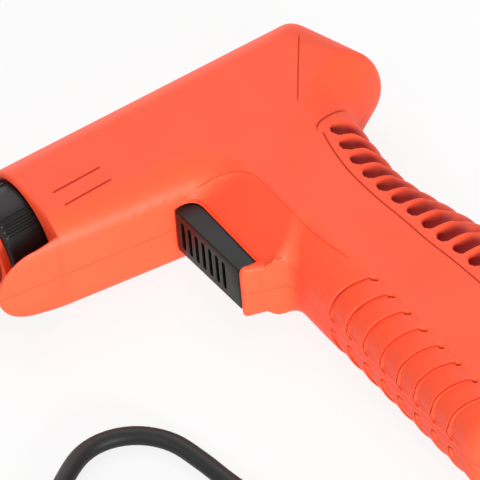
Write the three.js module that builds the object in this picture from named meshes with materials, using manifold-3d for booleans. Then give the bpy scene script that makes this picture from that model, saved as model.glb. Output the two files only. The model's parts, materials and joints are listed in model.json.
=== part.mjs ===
// A corded hot-melt glue gun, lying on its right-hand side.
// Millimetres. X runs from the nozzle to the rear, Y from the handle to the barrel's top,
// Z from the right-hand side, which lies on the table, up to the left-hand side.
// The origin is on the right-hand side, under the barrel's axis, in line with the handle's front.
import * as THREE from 'three';
import { mergeVertices } from 'three/addons/utils/BufferGeometryUtils.js';
import Module from 'manifold-3d';

// ---------------------------------------------------------------- driving dimensions

// Housing: two half shells that meet at the middle plane.
const THICKNESS = 34.6;           // over both shells
const WALL = 2.6;
const BACK_WALL = 4.2;            // thicker under the grip's ribs
const SEAM = 0.3;                 // between the two shells
const TOUCH = 0.3;                // between pieces that rest on each other
const SLIDE = 0.4;                // between pieces that slide or turn
const SHAFT_PLAY = 0.3;           // radial, between a pin or screw and its hole

const BARREL_FRONT = -44.2;
const BARREL_TOP = 14.7;          // above the barrel's axis, at the nose
const BARREL_TOP_REAR = 11.5;    // and at the rear
const BELLY_FRONT = 21.3;         // below the barrel's axis, at the nose
const BELLY_REAR = 26.6;          // below the barrel's axis, at the trigger
const REAR_FACE = 56.7;           // where the barrel's axis leaves the slanted rear face
const REAR_LEAN = 0.3775;         // the rear face's slope from upright
const HUMP_DROP = 15.4;           // the rear hump's corner, below the axis
const WEB_X = 45;                 // the hollow between hump and grip
const WEB_DROP = 26.4;

const HANDLE_BOTTOM = -148;
const HANDLE_FRONT = 0.3;
const HANDLE_FRONT_FOOT = 1.7;    // and at the bottom
const THROAT_X = -6.4;             // the housing's front edge beside the trigger
const GRIP_WAIST_X = 42.5;        // the back of the grip at its waist
const GRIP_WAIST_Y = -54.5;
const GRIP_HEEL_X = 53.5;          // the back of the grip at its swell
const GRIP_HEEL_Y = -95;
const GRIP_FOOT_X = 51.5;           // the back of the grip at the bottom

// How far each side of the housing is rounded over, and how far from the middle plane it starts.
const ROUND_TOP = { reach: 12, from: 0 };
const ROUND_BELLY = { reach: 10, from: 9.5 };
const ROUND_THROAT = { reach: 13, from: 8.6, flat: 0.85 };
const ROUND_SLANT = { reach: 6, from: 13 };
const ROUND_HANDLE_FRONT = { reach: 12.5, from: 4.5 };
const ROUND_FOOT = { reach: 5, from: 12 };
const ROUND_GRIP = { reach: 15.5, from: 2 };
const ROUND_HUMP = { reach: 16, from: 0 };
const ROUND_REAR = { reach: 16, from: 0 };
const ROUND_NOSE = { reach: 2, from: 14 };

// Jaw: the tongue of the belly that runs on under the twist ring.
const JAW_REACH = 8.2;            // ahead of the ring
const JAW_HALF_WIDTH = 12.1;
const JAW_ROUND = 13.2;           // length of its rounded end
const JAW_CLEARANCE = 2.6;        // between it and the ring's ribs
const JAW_EDGE = 1.6;             // thickness of its side edges
const JAW_TIP = 0.45;             // and of its tip

// Lip: the shelf under the trigger.
const LIP_REACH = 12.3;            // ahead of the handle's front
const LIP_EDGE = 1.2;             // thickness of its front edge
const LIP_ROOT = -61.3;           // where its underside meets the handle's front
const LIP_HALF_WIDTH = 9.6;

// Twist ring on the nose tube.
const RING_GAP = 0.4;             // behind the ring
const RING_WIDTH = 12;
const RING_RADIUS = 14.6;
const RING_WALL = 1.9;
const RING_RIB = 0.5;             // height of a grip rib
const RING_RIB_GROUPS = 6;
const RING_RIBS = 4;              // in a group
const RING_RIB_STEP = 6.4;        // degrees
const TUBE_WALL = 2.1;
const TUBE_REACH = 2;             // ahead of the ring

// Heated chamber.
const NECK_RADIUS = 7;
const NECK_LENGTH = 9;
const CHAMBER_RADIUS = 9.5;
const CHAMBER_LENGTH = 34;
const SPIGOT_RADIUS = 7.2;
const SPIGOT_LENGTH = 7;
const STICK_RADIUS = 5.6;         // an 11.2 mm glue stick
const STICK_PLAY = 0.4;
const PAD_HALF_WIDTH = 7.5;       // the flat under the chamber that carries the heater
const PAD_DROP = 11.5;
const PAD_LENGTH = 17;
const SUPPORT_THICKNESS = 2.4;
const SUPPORT_RADIUS = 11.4;
const SUPPORT_LAND = 10.6;        // radius of the hole in the ribs that hold a support
const SUPPORT_GRIP = 1.6;         // thickness of those ribs

// Nozzle and its silicone boot.
const NOZZLE_REACH = 6;           // ahead of the boot
const NOZZLE_BORE = 1.1;
const NOZZLE_TIP = 1;             // thickness round the bore at the tip
const NOZZLE_CONE = 7;            // length of the tip's steeper cone
const NOZZLE_CONE_WALL = 2.6;     // thickness round the bore behind it
const NOZZLE_THROAT = 10;         // from the tip, where the bore starts to widen
const NOZZLE_HEAD = 5.6;          // radius of the head that the spanner takes
const NOZZLE_HEAD_LENGTH = 3;
const THREAD_RADIUS = 4.2;
const BOOT_WALL = 2;
const BOOT_REACH = 11;            // ahead of the nose tube
const BOOT_TIP_RADIUS = 7.2;
const BOOT_MOUTH = 5.6;
const BOOT_STEP = 1;              // from the part inside the tube to the cone ahead of it

// Heater.
const HEATER_THICKNESS = 2.6;
const HEATER_HALF_WIDTH = 6.4;
const CLIP_THICKNESS = 0.9;
const CLIP_LENGTH = 10;
const FUSE_RADIUS = 1.5;
const FUSE_LENGTH = 9;

// Stick guide and inlet.
const SLEEVE_LENGTH = 20;
const SLEEVE_WALL = 1.5;
const CLAMP_WIDTH = 3.6;
const CLAMP_THICKNESS = 0.8;
const GUIDE_LENGTH = 15;
const GUIDE_WALL = 1.8;
const GUIDE_INSET = 2.5;          // the guide's end, inside the rear face

// Feed: trigger, lever and carriage.
const TRIGGER_TRAVEL = 8.5;
const TRIGGER_HALF_WIDTH = 7.75;
const TRIGGER_TOP = -26;
const TRIGGER_BOTTOM = -54.7;
const TRIGGER_NOSE_TOP_X = -12.9; // the finger face, at its top and at its bottom
const TRIGGER_NOSE_BOTTOM_X = -11.8;
const TRIGGER_STEP_X = 4;         // behind this its top is lower
const TRIGGER_REAR_TOP = -29.3;
const PIVOT_Y = -24;
const PIVOT_PIN_RADIUS = 2;
const PIVOT_BOSS_RADIUS = 4.2;
const LEVER_HALF_THICKNESS = 2;
const LEVER_HALF_WIDTH = 3.5;
const TRIGGER_ARM = 12.5;         // from the pivot down to the trigger's drive pin
const CARRIAGE_ARM = 11.5;        // from the pivot up to the carriage's drive pin
const DRIVE_PIN_RADIUS = 1.5;
const FORK_TIP = 2.2;             // the forks run on past the pins
const CARRIAGE_LENGTH = 12;
const CARRIAGE_RADIUS = 8.2;
const CARRIAGE_HALF_WIDTH = 10.5;
const CARRIAGE_SPARE = 4;         // room left ahead of the carriage at full stroke
const RAIL_HALF = 2.2;            // half height of the rails that it runs on
const RAIL_DEPTH = 1.4;           // how far they reach into its sides
const RAIL_WALL = 1.4;            // above and below them
const CHEEK_DEPTH = 2;
const SPRING_RADIUS = 3.4;
const SPRING_WIRE = 0.45;
const SPRING_TURNS = 9;
const SPRING_POCKET = 12;         // depth of its pocket in the trigger's rear

// Screws that close the housing, driven from the right-hand side.
const SCREW_RADIUS = 1.45;
const SCREW_HEAD_RADIUS = 2.9;
const SCREW_HEAD = 2;
const SCREW_SINK = 5.5;           // depth of the head's seat below the right-hand side
const SCREW_BITE = 9;             // into the left-hand boss
const BOSS_RADIUS = 3.1;
const SCREW_PLACES = [
  [-12.5, -20.4],
  [49, -13.5],
  [8.5, -67],
  [40, -88],
  [9, -137],
  [42, -137],
];

// Power lead.
const CORD_RADIUS = 2.6;
const CORD_X = 26;                // where it leaves the handle's bottom
const BLOCK_HALF = [7, 5, 6];     // terminal block, half sizes
const BLOCK_Y = -98;
const CLAMP_Y = -122;
const CLAMP_HALF = [9.5, 4];
const CLAMP_SCREW_OFFSET = 6.6;
const RELIEF_LENGTH = 28;         // below the handle
const RELIEF_ROOT = 5.6;
const RELIEF_TIP = 4;
const RELIEF_NECK = 4.6;
const RELIEF_FLANGE = 7;
const LEAD_RADIUS = 0.9;
const COIL = { x: -86, y: -130, mid: 29, inner: 20.8, outer: 37.2, height: 10.6 };
const PLUG = { x: -116.6, y: -188, neck: 9, height: 8.1, length: 20, pins: 16.5 };

// ---------------------------------------------------------------- derived places

const HALF = THICKNESS / 2;
const MID = HALF;                                 // the middle plane's height
const RING_REAR = BARREL_FRONT - RING_GAP;
const RING_FRONT = RING_REAR - RING_WIDTH;
const TUBE_FRONT = RING_FRONT - TUBE_REACH;
const TUBE_RADIUS = RING_RADIUS - RING_WALL - SLIDE;
const BOOT_RADIUS = TUBE_RADIUS - TUBE_WALL - TOUCH;
const JAW_FRONT = RING_FRONT - JAW_REACH;
const JAW_TOP = -(RING_RADIUS + RING_RIB + JAW_CLEARANCE);
const NECK_FRONT = TUBE_FRONT + 4.5;
const CHAMBER_FRONT = NECK_FRONT + NECK_LENGTH;
const CHAMBER_REAR = CHAMBER_FRONT + CHAMBER_LENGTH;
const SPIGOT_REAR = CHAMBER_REAR + SPIGOT_LENGTH;
const BORE_RADIUS = STICK_RADIUS + STICK_PLAY;
const FRONT_SUPPORT_X = BARREL_FRONT + WALL + TOUCH;
const REAR_SUPPORT_X = CHAMBER_REAR - 3.2;
const PAD_FRONT = FRONT_SUPPORT_X + SUPPORT_THICKNESS + 3;
const SLEEVE_FRONT = CHAMBER_REAR + TOUCH;
const SLEEVE_REAR = SLEEVE_FRONT + SLEEVE_LENGTH;
const SLEEVE_RADIUS = SPIGOT_RADIUS + TOUCH + SLEEVE_WALL;
const SWING = Math.atan(TRIGGER_TRAVEL / 2 / TRIGGER_ARM);
const CARRIAGE_STROKE = 2 * CARRIAGE_ARM * Math.tan(SWING);
const CARRIAGE_FRONT = SLEEVE_REAR + CARRIAGE_STROKE + CARRIAGE_SPARE;
const CARRIAGE_PIN_X = CARRIAGE_FRONT + CARRIAGE_LENGTH / 3;
const PIVOT_X = CARRIAGE_PIN_X - CARRIAGE_STROKE / 2;
const TRIGGER_PIN_X = PIVOT_X - TRIGGER_TRAVEL / 2;
const TRIGGER_REAR = TRIGGER_PIN_X + 6;
const TRIGGER_PIN_Y = PIVOT_Y - TRIGGER_ARM;
const SPRING_Y = TRIGGER_BOTTOM + SPRING_RADIUS + SPRING_WIRE + 3;
const SPRING_FRONT = TRIGGER_REAR - SPRING_POCKET + TOUCH + SPRING_WIRE;
const SPRING_SEAT_X = GRIP_WAIST_X - BACK_WALL - 2.8;
const GUIDE_RADIUS = BORE_RADIUS + GUIDE_WALL;
const GUIDE_REAR = REAR_FACE - GUIDE_INSET;
const GUIDE_FRONT = GUIDE_REAR - GUIDE_LENGTH;
const LIP_FRONT = HANDLE_FRONT - LIP_REACH;
const LIP_TOP = TRIGGER_BOTTOM - SLIDE - 0.2;
const FOOT_INSIDE = HANDLE_BOTTOM + WALL;

// The belly's level, and the level of the lip's underside, along X.
const slope = (x, [x0, y0], [x1, y1]) => y0 + ((x - x0) * (y1 - y0)) / (x1 - x0);
const belly = (x) => slope(x, [BARREL_FRONT, -BELLY_FRONT], [THROAT_X, -BELLY_REAR]);
const underJaw = (x) => slope(x, [BARREL_FRONT, -BELLY_FRONT], [JAW_FRONT, JAW_TOP - JAW_TIP]);
const underLip = (x) => slope(x, [LIP_FRONT, LIP_TOP - LIP_EDGE], [HANDLE_FRONT, LIP_ROOT]);

// ---------------------------------------------------------------- materials

const paint = (color, roughness, metalness = 0) =>
  new THREE.MeshStandardMaterial({ color, roughness, metalness });

const shellPlastic = paint(0xff6a48, 0.5);
const blackPlastic = paint(0x1c1c1f, 0.45);
const nylon = paint(0xe9e4d6, 0.55);
const redSilicone = paint(0xc2361f, 0.7);
const mica = paint(0xb7a88a, 0.8);
const aluminium = paint(0xb9bcc0, 0.4, 0.9);
const brass = paint(0xc9a24e, 0.35, 1);
const steel = paint(0x9ea3a8, 0.35, 1);
const ceramic = paint(0xeeeae0, 0.6);
const rubber = paint(0x222224, 0.75);

// ---------------------------------------------------------------- solids

const wasm = await Module();
wasm.setup();

// A closed geometry as a manifold solid, facing out.
function solid(geometry) {
  const bare = geometry.index ? geometry.toNonIndexed() : geometry.clone();
  bare.deleteAttribute('normal');
  bare.deleteAttribute('uv');
  const merged = mergeVertices(bare, 1e-3);
  const vertices = merged.attributes.position.array;
  const triangles = [];
  let volume = 0;
  for (let i = 0; i < merged.index.count; i += 3) {
    const [a, b, c] = [0, 1, 2].map((k) => merged.index.getX(i + k));
    if (a === b || b === c || c === a) continue;
    triangles.push(a, b, c);
    const [p, q, r] = [a, b, c].map((k) => new THREE.Vector3().fromArray(vertices, 3 * k));
    volume += p.dot(q.cross(r));
  }
  if (volume < 0) triangles.reverse();
  return new wasm.Manifold(
    new wasm.Mesh({
      numProp: 3,
      vertProperties: new Float32Array(vertices),
      triVerts: new Uint32Array(triangles),
    }),
  );
}

const AXES = {
  x: new THREE.Matrix4().set(0, 0, 1, 0, 1, 0, 0, 0, 0, 1, 0, 0, 0, 0, 0, 1),
  y: new THREE.Matrix4().set(0, 1, 0, 0, 0, 0, 1, 0, 1, 0, 0, 0, 0, 0, 0, 1),
  z: new THREE.Matrix4(),
};

// A flat outline pushed along an axis. Its points are (y, z) for x, (z, x) for y and (x, y) for z.
function prism(axis, points, from, to) {
  const shape = new THREE.Shape(points.map(([u, v]) => new THREE.Vector2(u, v)));
  const geometry = new THREE.ExtrudeGeometry(shape, { depth: to - from, bevelEnabled: false });
  geometry.translate(0, 0, from).applyMatrix4(AXES[axis]);
  return solid(geometry);
}

function box(x, y, z) {
  const geometry = new THREE.BoxGeometry(x[1] - x[0], y[1] - y[0], z[1] - z[0]);
  geometry.translate((x[0] + x[1]) / 2, (y[0] + y[1]) / 2, (z[0] + z[1]) / 2);
  return solid(geometry);
}

// A profile of (along, radius) points turned about a line that runs with the axis through (u, v).
function turned(axis, profile, [u, v], segments = 24) {
  const closed = [...profile, profile[0]].map(([along, radius]) => new THREE.Vector2(radius, along));
  const geometry = new THREE.LatheGeometry(closed, segments);
  if (axis === 'x') geometry.rotateZ(-Math.PI / 2).translate(0, u, v);
  if (axis === 'y') geometry.translate(v, 0, u);
  if (axis === 'z') geometry.rotateX(Math.PI / 2).translate(u, v, 0);
  return solid(geometry);
}

const rod = (axis, radius, from, to, centre, segments = 16) =>
  turned(axis, [[from, 0], [from, radius], [to, radius], [to, 0]], centre, segments);

const pipe = (axis, outer, inner, from, to, centre, segments = 24) =>
  turned(axis, [[from, inner], [from, outer], [to, outer], [to, inner]], centre, segments);

// A round wire or lead along a curve.
function wire(points, radius, steps, sides) {
  const path = new THREE.CatmullRomCurve3(points.map((p) => new THREE.Vector3(...p)), false, 'centripetal');
  const circle = new THREE.Shape();
  for (let i = 0; i < sides; i++) {
    const turn = (2 * Math.PI * i) / sides;
    const at = [radius * Math.cos(turn), radius * Math.sin(turn)];
    if (i) circle.lineTo(...at);
    else circle.moveTo(...at);
  }
  return solid(new THREE.ExtrudeGeometry(circle, { steps, extrudePath: path, bevelEnabled: false }));
}

const union = (parts) => parts.reduce((sum, part) => sum.add(part));

// ---------------------------------------------------------------- the housing's outer form

// Corners of the side view, anticlockwise. Each one's rounding is that of the side that starts there.
const SIDE_VIEW = [
  { x: BARREL_FRONT, y: -BELLY_FRONT, r: 1.5, steps: 2, round: ROUND_BELLY },
  { x: THROAT_X, y: -BELLY_REAR, r: 4.5, steps: 5, round: ROUND_THROAT },
  { x: THROAT_X, y: underLip(THROAT_X), r: 1.5, steps: 2, round: ROUND_SLANT },
  { x: HANDLE_FRONT, y: LIP_ROOT, r: 5, steps: 4, round: ROUND_HANDLE_FRONT },
  { x: HANDLE_FRONT_FOOT, y: HANDLE_BOTTOM, r: 8, steps: 6, round: ROUND_FOOT },
  { x: GRIP_FOOT_X, y: HANDLE_BOTTOM, r: 10, steps: 6, round: ROUND_GRIP },
  { x: GRIP_HEEL_X, y: GRIP_HEEL_Y, r: 40, steps: 6, round: ROUND_GRIP },
  { x: GRIP_WAIST_X, y: GRIP_WAIST_Y, r: 45, steps: 7, round: ROUND_GRIP },
  { x: WEB_X, y: -WEB_DROP, r: 6, steps: 5, round: ROUND_HUMP },
  { x: REAR_FACE + REAR_LEAN * HUMP_DROP, y: -HUMP_DROP, r: 6, steps: 6, round: ROUND_REAR },
  { x: REAR_FACE - REAR_LEAN * BARREL_TOP_REAR, y: BARREL_TOP_REAR, r: 9, steps: 6, round: ROUND_TOP },
  { x: BARREL_FRONT, y: BARREL_TOP, r: 2, steps: 3, round: ROUND_NOSE },
];
const GRIP_SIDES = [5, 6, 7];
const SMALLEST_FILLET = 0.4;

// How far a side of the outline has moved in, at a height from the middle plane: an ellipse, or
// the share of it that isn't flat.
function roundedOver({ reach, from, flat = 0 }, height) {
  const s = Math.max(0, (height - from) / (HALF - from));
  return reach * (flat * s + (1 - flat) * (1 - Math.sqrt(Math.max(0, 1 - s * s))));
}

// The outline with each side moved in by its own amount, and each corner rounded.
function outline(corners, insets, finish) {
  const count = corners.length;
  const next = (i) => (i + 1) % count;
  const before = (i) => (i + count - 1) % count;
  const lines = corners.map((corner, i) => {
    const along = new THREE.Vector2(corners[next(i)].x - corner.x, corners[next(i)].y - corner.y).normalize();
    const inwards = new THREE.Vector2(-along.y, along.x).multiplyScalar(insets[i]);
    return { start: new THREE.Vector2(corner.x, corner.y).add(inwards), along };
  });
  const moved = corners.map((_, i) => {
    const [a, b] = [lines[before(i)], lines[i]];
    const gap = b.start.clone().sub(a.start);
    return a.start.clone().addScaledVector(a.along, gap.cross(b.along) / a.along.cross(b.along));
  });
  return corners.flatMap((corner, i) => {
    const [a, b] = [lines[before(i)].along, lines[i].along];
    const turn = Math.atan2(a.cross(b), a.dot(b));
    const inset = (insets[before(i)] + insets[i]) / 2;
    const room = 0.48 * Math.min(moved[i].distanceTo(moved[before(i)]), moved[i].distanceTo(moved[next(i)]));
    const wanted = Math.max(SMALLEST_FILLET, corner.r - Math.sign(turn) * inset);
    const setback = Math.min(room, wanted * Math.tan(Math.abs(turn) / 2));
    const curve = new THREE.QuadraticBezierCurve(
      moved[i].clone().addScaledVector(a, -setback),
      moved[i],
      moved[i].clone().addScaledVector(b, setback),
    );
    return curve.getPoints(Math.max(1, Math.round(corner.steps * finish)));
  });
}

// Outlines stacked along Z, joined by a skin and closed at both ends.
function lofted(rings) {
  const count = rings[0].points.length;
  const positions = rings.flatMap(({ points, z }) => points.flatMap((p) => [p.x, p.y, z]));
  const index = [];
  for (let ring = 0; ring + 1 < rings.length; ring++) {
    for (let i = 0; i < count; i++) {
      const a = ring * count + i;
      const b = ring * count + ((i + 1) % count);
      index.push(a, b, b + count, a, b + count, a + count);
    }
  }
  const last = rings.length - 1;
  for (const [ring, up] of [[0, false], [last, true]]) {
    const { points } = rings[ring];
    for (const face of THREE.ShapeUtils.triangulateShape(points, [])) {
      const left = THREE.ShapeUtils.area(face.map((k) => points[k])) > 0;
      index.push(...(left === up ? face : face.slice().reverse()).map((k) => k + ring * count));
    }
  }
  const geometry = new THREE.BufferGeometry();
  geometry.setAttribute('position', new THREE.Float32BufferAttribute(positions, 3));
  geometry.setIndex(index);
  return solid(geometry);
}

// The housing's form, moved in by a wall on every side, and by another at the back of the grip.
const OUTSIDE = { wall: 0, gripWall: 0, levels: [0, 0.33, 0.55, 0.72, 0.84, 0.92, 0.975, 1], finish: 1 };
const INSIDE = { wall: WALL, gripWall: BACK_WALL, levels: [0, 0.5, 0.78, 0.93, 1], finish: 0.5 };
function housingForm({ wall, gripWall, levels, finish }) {
  const heights = [...levels.slice(1).reverse().map((s) => -s), ...levels];
  return lofted(
    heights.map((s) => ({
      z: MID + s * (HALF - wall),
      points: outline(
        SIDE_VIEW,
        SIDE_VIEW.map(({ round }, i) =>
          roundedOver(round, Math.abs(s) * HALF) + (GRIP_SIDES.includes(i) ? gripWall : wall)),
        finish,
      ),
    })),
  );
}

// ---------------------------------------------------------------- the grip's pockets

const POCKET_PITCH = 6.22;
const POCKET_FIRST = -35.2;       // height of the first one's middle
const POCKET_COUNT = 15;
const POCKET_HALF = 1.7;          // half its height at its inner end
const POCKET_FLARE = 2.4;         // how much higher it is at the grip's back
const POCKET_DEPTH = 2.6;
const POCKET_SIDE_DEPTH = 1;      // on the flat of the side
const POCKET_START = 2.6;         // behind the panel's front edge
const PANEL_EDGE = [[-140, 33], [-104.4, 31.9], [-83, 30], [-55.4, 27.5], [-45.8, 27.3], [-30, 31.5]];
const GRIP_BACK = [
  [HANDLE_BOTTOM, GRIP_FOOT_X], [GRIP_HEEL_Y, GRIP_HEEL_X], [GRIP_WAIST_Y, GRIP_WAIST_X], [-WEB_DROP, WEB_X],
];

// X of a line of [y, x] points at a height.
function xAt(line, y) {
  const i = Math.max(1, line.findIndex(([height]) => height >= y));
  return slope(y, line[i - 1], line[i]);
}

// What the pockets between the grip's ribs take away: slots that end at the panel's edge, with a
// crisp lower side and a sloping upper one at the back.
function pockets() {
  const slots = Array.from({ length: POCKET_COUNT }, (_, i) => {
    const y = POCKET_FIRST - i * POCKET_PITCH;
    const [front, back] = [xAt(PANEL_EDGE, y) + POCKET_START, xAt(GRIP_BACK, y)];
    return prism('z', [
      [front, y - POCKET_HALF], [back + 8, y - POCKET_HALF], [back + 8, y + POCKET_HALF + POCKET_FLARE * 3],
      [back, y + POCKET_HALF + POCKET_FLARE], [back - POCKET_DEPTH, y + POCKET_HALF - 1], [front, y + POCKET_HALF - 0.4],
    ], -1, THICKNESS + 1);
  });
  const floor = housingForm({ ...INSIDE, wall: POCKET_SIDE_DEPTH, gripWall: POCKET_DEPTH });
  return union(slots).subtract(floor);
}

// ---------------------------------------------------------------- the two half shells

const WIDE = 400;
const across = (half) => [MID - half, MID + half];

function jaw() {
  const root = BARREL_FRONT + WALL;
  const side = prism(
    'z',
    [[root, belly(root)], [root, JAW_TOP], [JAW_FRONT, JAW_TOP], [JAW_FRONT, underJaw(JAW_FRONT)],
      [BARREL_FRONT, belly(BARREL_FRONT)]],
    0,
    THICKNESS,
  );
  const plan = [[MID - HALF + 3, root], [MID - JAW_HALF_WIDTH - 1, BARREL_FRONT - 3]];
  for (let i = 0; i <= 14; i++) {
    const turn = (Math.PI * i) / 14;
    plan.push([MID - JAW_HALF_WIDTH * Math.cos(turn), JAW_FRONT + JAW_ROUND * (1 - Math.sin(turn))]);
  }
  plan.push([MID + JAW_HALF_WIDTH + 1, BARREL_FRONT - 3], [MID + HALF - 3, root]);
  // Its lower edges are rounded over in the same way as the belly's.
  const edge = [[JAW_TOP - JAW_EDGE, HALF], [JAW_TOP - JAW_EDGE - 1.2, JAW_HALF_WIDTH - 0.6], [-BELLY_REAR, JAW_HALF_WIDTH - 2.8]];
  const section = [[0, HALF], ...edge];
  return side
    .intersect(prism('y', plan, -WIDE, 0))
    .intersect(prism('x', [
      ...section.map(([y, half]) => [y, MID + half]),
      ...section.reverse().map(([y, half]) => [y, MID - half]),
    ], -WIDE, root));
}

function lip() {
  const side = prism('z', [
    [LIP_FRONT, LIP_TOP], [LIP_FRONT, LIP_TOP - LIP_EDGE], [HANDLE_FRONT + WALL, underLip(HANDLE_FRONT + WALL)],
    [HANDLE_FRONT + WALL, LIP_TOP],
  ], ...across(LIP_HALF_WIDTH));
  const plan = prism('y', [
    [MID - LIP_HALF_WIDTH, HANDLE_FRONT + WALL], [MID - LIP_HALF_WIDTH, LIP_FRONT + 1.6],
    [MID - LIP_HALF_WIDTH + 0.5, LIP_FRONT + 0.5], [MID - LIP_HALF_WIDTH + 1.6, LIP_FRONT],
    [MID + LIP_HALF_WIDTH - 1.6, LIP_FRONT], [MID + LIP_HALF_WIDTH - 0.5, LIP_FRONT + 0.5],
    [MID + LIP_HALF_WIDTH, LIP_FRONT + 1.6], [MID + LIP_HALF_WIDTH, HANDLE_FRONT + WALL],
  ], -WIDE, 0);
  return side.intersect(plan);
}

// The ribs that hold a chamber support by its rim, open at the bottom for the leads.
function supportSeat(x) {
  const from = x - SUPPORT_GRIP - TOUCH;
  const to = x + SUPPORT_THICKNESS + SUPPORT_GRIP + TOUCH;
  return box([from, to], [-SUPPORT_RADIUS - TOUCH, BARREL_TOP], [0, THICKNESS])
    .subtract(rod('x', SUPPORT_LAND, from - 1, to + 1, [0, MID], 32));
}

function innerRibs() {
  const rail = CARRIAGE_HALF_WIDTH - RAIL_DEPTH;
  const guideRail = (side) =>
    box(
      [SLEEVE_REAR + TOUCH, CARRIAGE_FRONT + CARRIAGE_LENGTH + 4],
      [-RAIL_HALF, RAIL_HALF],
      side < 0 ? [0, MID - rail] : [MID + rail, THICKNESS],
    );
  const guideSeat = box(
    [GUIDE_FRONT + 2, GUIDE_FRONT + 5],
    [-WEB_DROP, BARREL_TOP],
    [0, THICKNESS],
  ).subtract(rod('x', GUIDE_RADIUS + TOUCH, GUIDE_FRONT, GUIDE_REAR, [0, MID], 32));
  const triggerRoof = box(
    [THROAT_X - 3, TRIGGER_STEP_X + TRIGGER_TRAVEL + 1],
    [TRIGGER_TOP + SLIDE, TRIGGER_TOP + SLIDE + 1.8],
    across(TRIGGER_HALF_WIDTH + 2),
  );
  const triggerFloor = box(
    [THROAT_X, TRIGGER_REAR + TRIGGER_TRAVEL + 1],
    [LIP_TOP - 1.8, LIP_TOP],
    across(TRIGGER_HALF_WIDTH + 2),
  );
  const springSeat = box(
    [SPRING_SEAT_X + TOUCH, GRIP_HEEL_X],
    [SPRING_Y - 5, SPRING_Y + 5],
    across(6),
  );
  const blockSeat = box(
    [CORD_X - BLOCK_HALF[0], CORD_X + BLOCK_HALF[0]],
    [BLOCK_Y - BLOCK_HALF[1], BLOCK_Y + BLOCK_HALF[1]],
    [0, MID - BLOCK_HALF[2] - TOUCH],
  );
  const clampSeat = box(
    [CORD_X - CLAMP_HALF[0], CORD_X + CLAMP_HALF[0]],
    [CLAMP_Y - CLAMP_HALF[1], CLAMP_Y + CLAMP_HALF[1]],
    [0, MID - CORD_RADIUS - TOUCH],
  ).subtract(union([-1, 1].map((side) =>
    rod('z', SCREW_RADIUS + SHAFT_PLAY, WALL + 1, MID, [CORD_X + side * CLAMP_SCREW_OFFSET, CLAMP_Y]))));
  return union([
    guideRail(-1), guideRail(1), guideSeat, triggerRoof, triggerFloor, springSeat, blockSeat, clampSeat,
    supportSeat(FRONT_SUPPORT_X), supportSeat(REAR_SUPPORT_X),
  ]);
}

const HEAD_SEAT = SCREW_SINK + SCREW_HEAD;        // height of a screw's seat above the right-hand side
const SEAT_FLOOR = 1.8;
function bosses() {
  const screws = SCREW_PLACES.flatMap((place) => [
    rod('z', BOSS_RADIUS, 0, THICKNESS, place),
    rod('z', SCREW_HEAD_RADIUS + SHAFT_PLAY + 1.5, 0, HEAD_SEAT + SEAT_FLOOR, place),
  ]);
  const pivot = rod('z', PIVOT_BOSS_RADIUS, 0, THICKNESS, [PIVOT_X, PIVOT_Y]).subtract(
    box([PIVOT_X - 9, PIVOT_X + 9], [PIVOT_Y - 9, PIVOT_Y + 9], across(LEVER_HALF_THICKNESS + SLIDE)));
  return union([...screws, pivot]);
}

function holes() {
  const cuts = SCREW_PLACES.flatMap((place) => [
    rod('z', SCREW_HEAD_RADIUS + SHAFT_PLAY, -1, HEAD_SEAT, place),
    rod('z', SCREW_RADIUS + SHAFT_PLAY, HEAD_SEAT - 1, MID + SCREW_BITE + TOUCH, place),
  ]);
  const triggerMouth = box(
    [TRIGGER_NOSE_TOP_X - 2, THROAT_X + WALL + 10],
    [LIP_TOP, TRIGGER_TOP + SLIDE],
    across(TRIGGER_HALF_WIDTH + SLIDE),
  );
  const inlet = rod('x', GUIDE_RADIUS + TOUCH, GUIDE_FRONT + 4, REAR_FACE + 20, [0, MID], 32);
  const noseHole = rod('x', TUBE_RADIUS - TUBE_WALL, TUBE_FRONT - 1, BARREL_FRONT + WALL + 1, [0, MID], 36)
    .add(rod('x', CHAMBER_RADIUS + TOUCH, CHAMBER_FRONT - TOUCH, BARREL_FRONT + WALL + 1, [0, MID], 36));
  const cordHole = rod('y', RELIEF_NECK + TOUCH, HANDLE_BOTTOM - 1, FOOT_INSIDE + 1, [MID, CORD_X]);
  const pivotPin = rod('z', PIVOT_PIN_RADIUS + SHAFT_PLAY, WALL + 1, THICKNESS - WALL - 1, [PIVOT_X, PIVOT_Y]);
  const supportGrooves = [FRONT_SUPPORT_X, REAR_SUPPORT_X].map((x) =>
    rod('x', SUPPORT_RADIUS + TOUCH, x - TOUCH, x + SUPPORT_THICKNESS + TOUCH, [0, MID], 32));
  return union([...cuts, triggerMouth, inlet, noseHole, cordHole, pivotPin, ...supportGrooves]);
}

const outer = housingForm(OUTSIDE).subtract(pockets());
const inner = housingForm(INSIDE);
const fittings = union([innerRibs(), bosses()]).intersect(outer);
const noseTube = rod('x', TUBE_RADIUS, TUBE_FRONT, BARREL_FRONT + WALL, [0, MID], 36);
const housing = outer
  .subtract(inner)
  .add(fittings)
  .add(jaw())
  .add(lip())
  .add(noseTube)
  .subtract(holes());

const below = box([-WIDE, WIDE], [-WIDE, WIDE], [-1, MID - SEAM / 2]);
const above = box([-WIDE, WIDE], [-WIDE, WIDE], [MID + SEAM / 2, THICKNESS + 1]);

function housingScrew(place) {
  return rod('z', SCREW_HEAD_RADIUS, HEAD_SEAT - SCREW_HEAD - TOUCH, HEAD_SEAT - TOUCH, place)
    .add(rod('z', SCREW_RADIUS, HEAD_SEAT - SCREW_HEAD, MID + SCREW_BITE, place, 10));
}

// ---------------------------------------------------------------- nose

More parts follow.
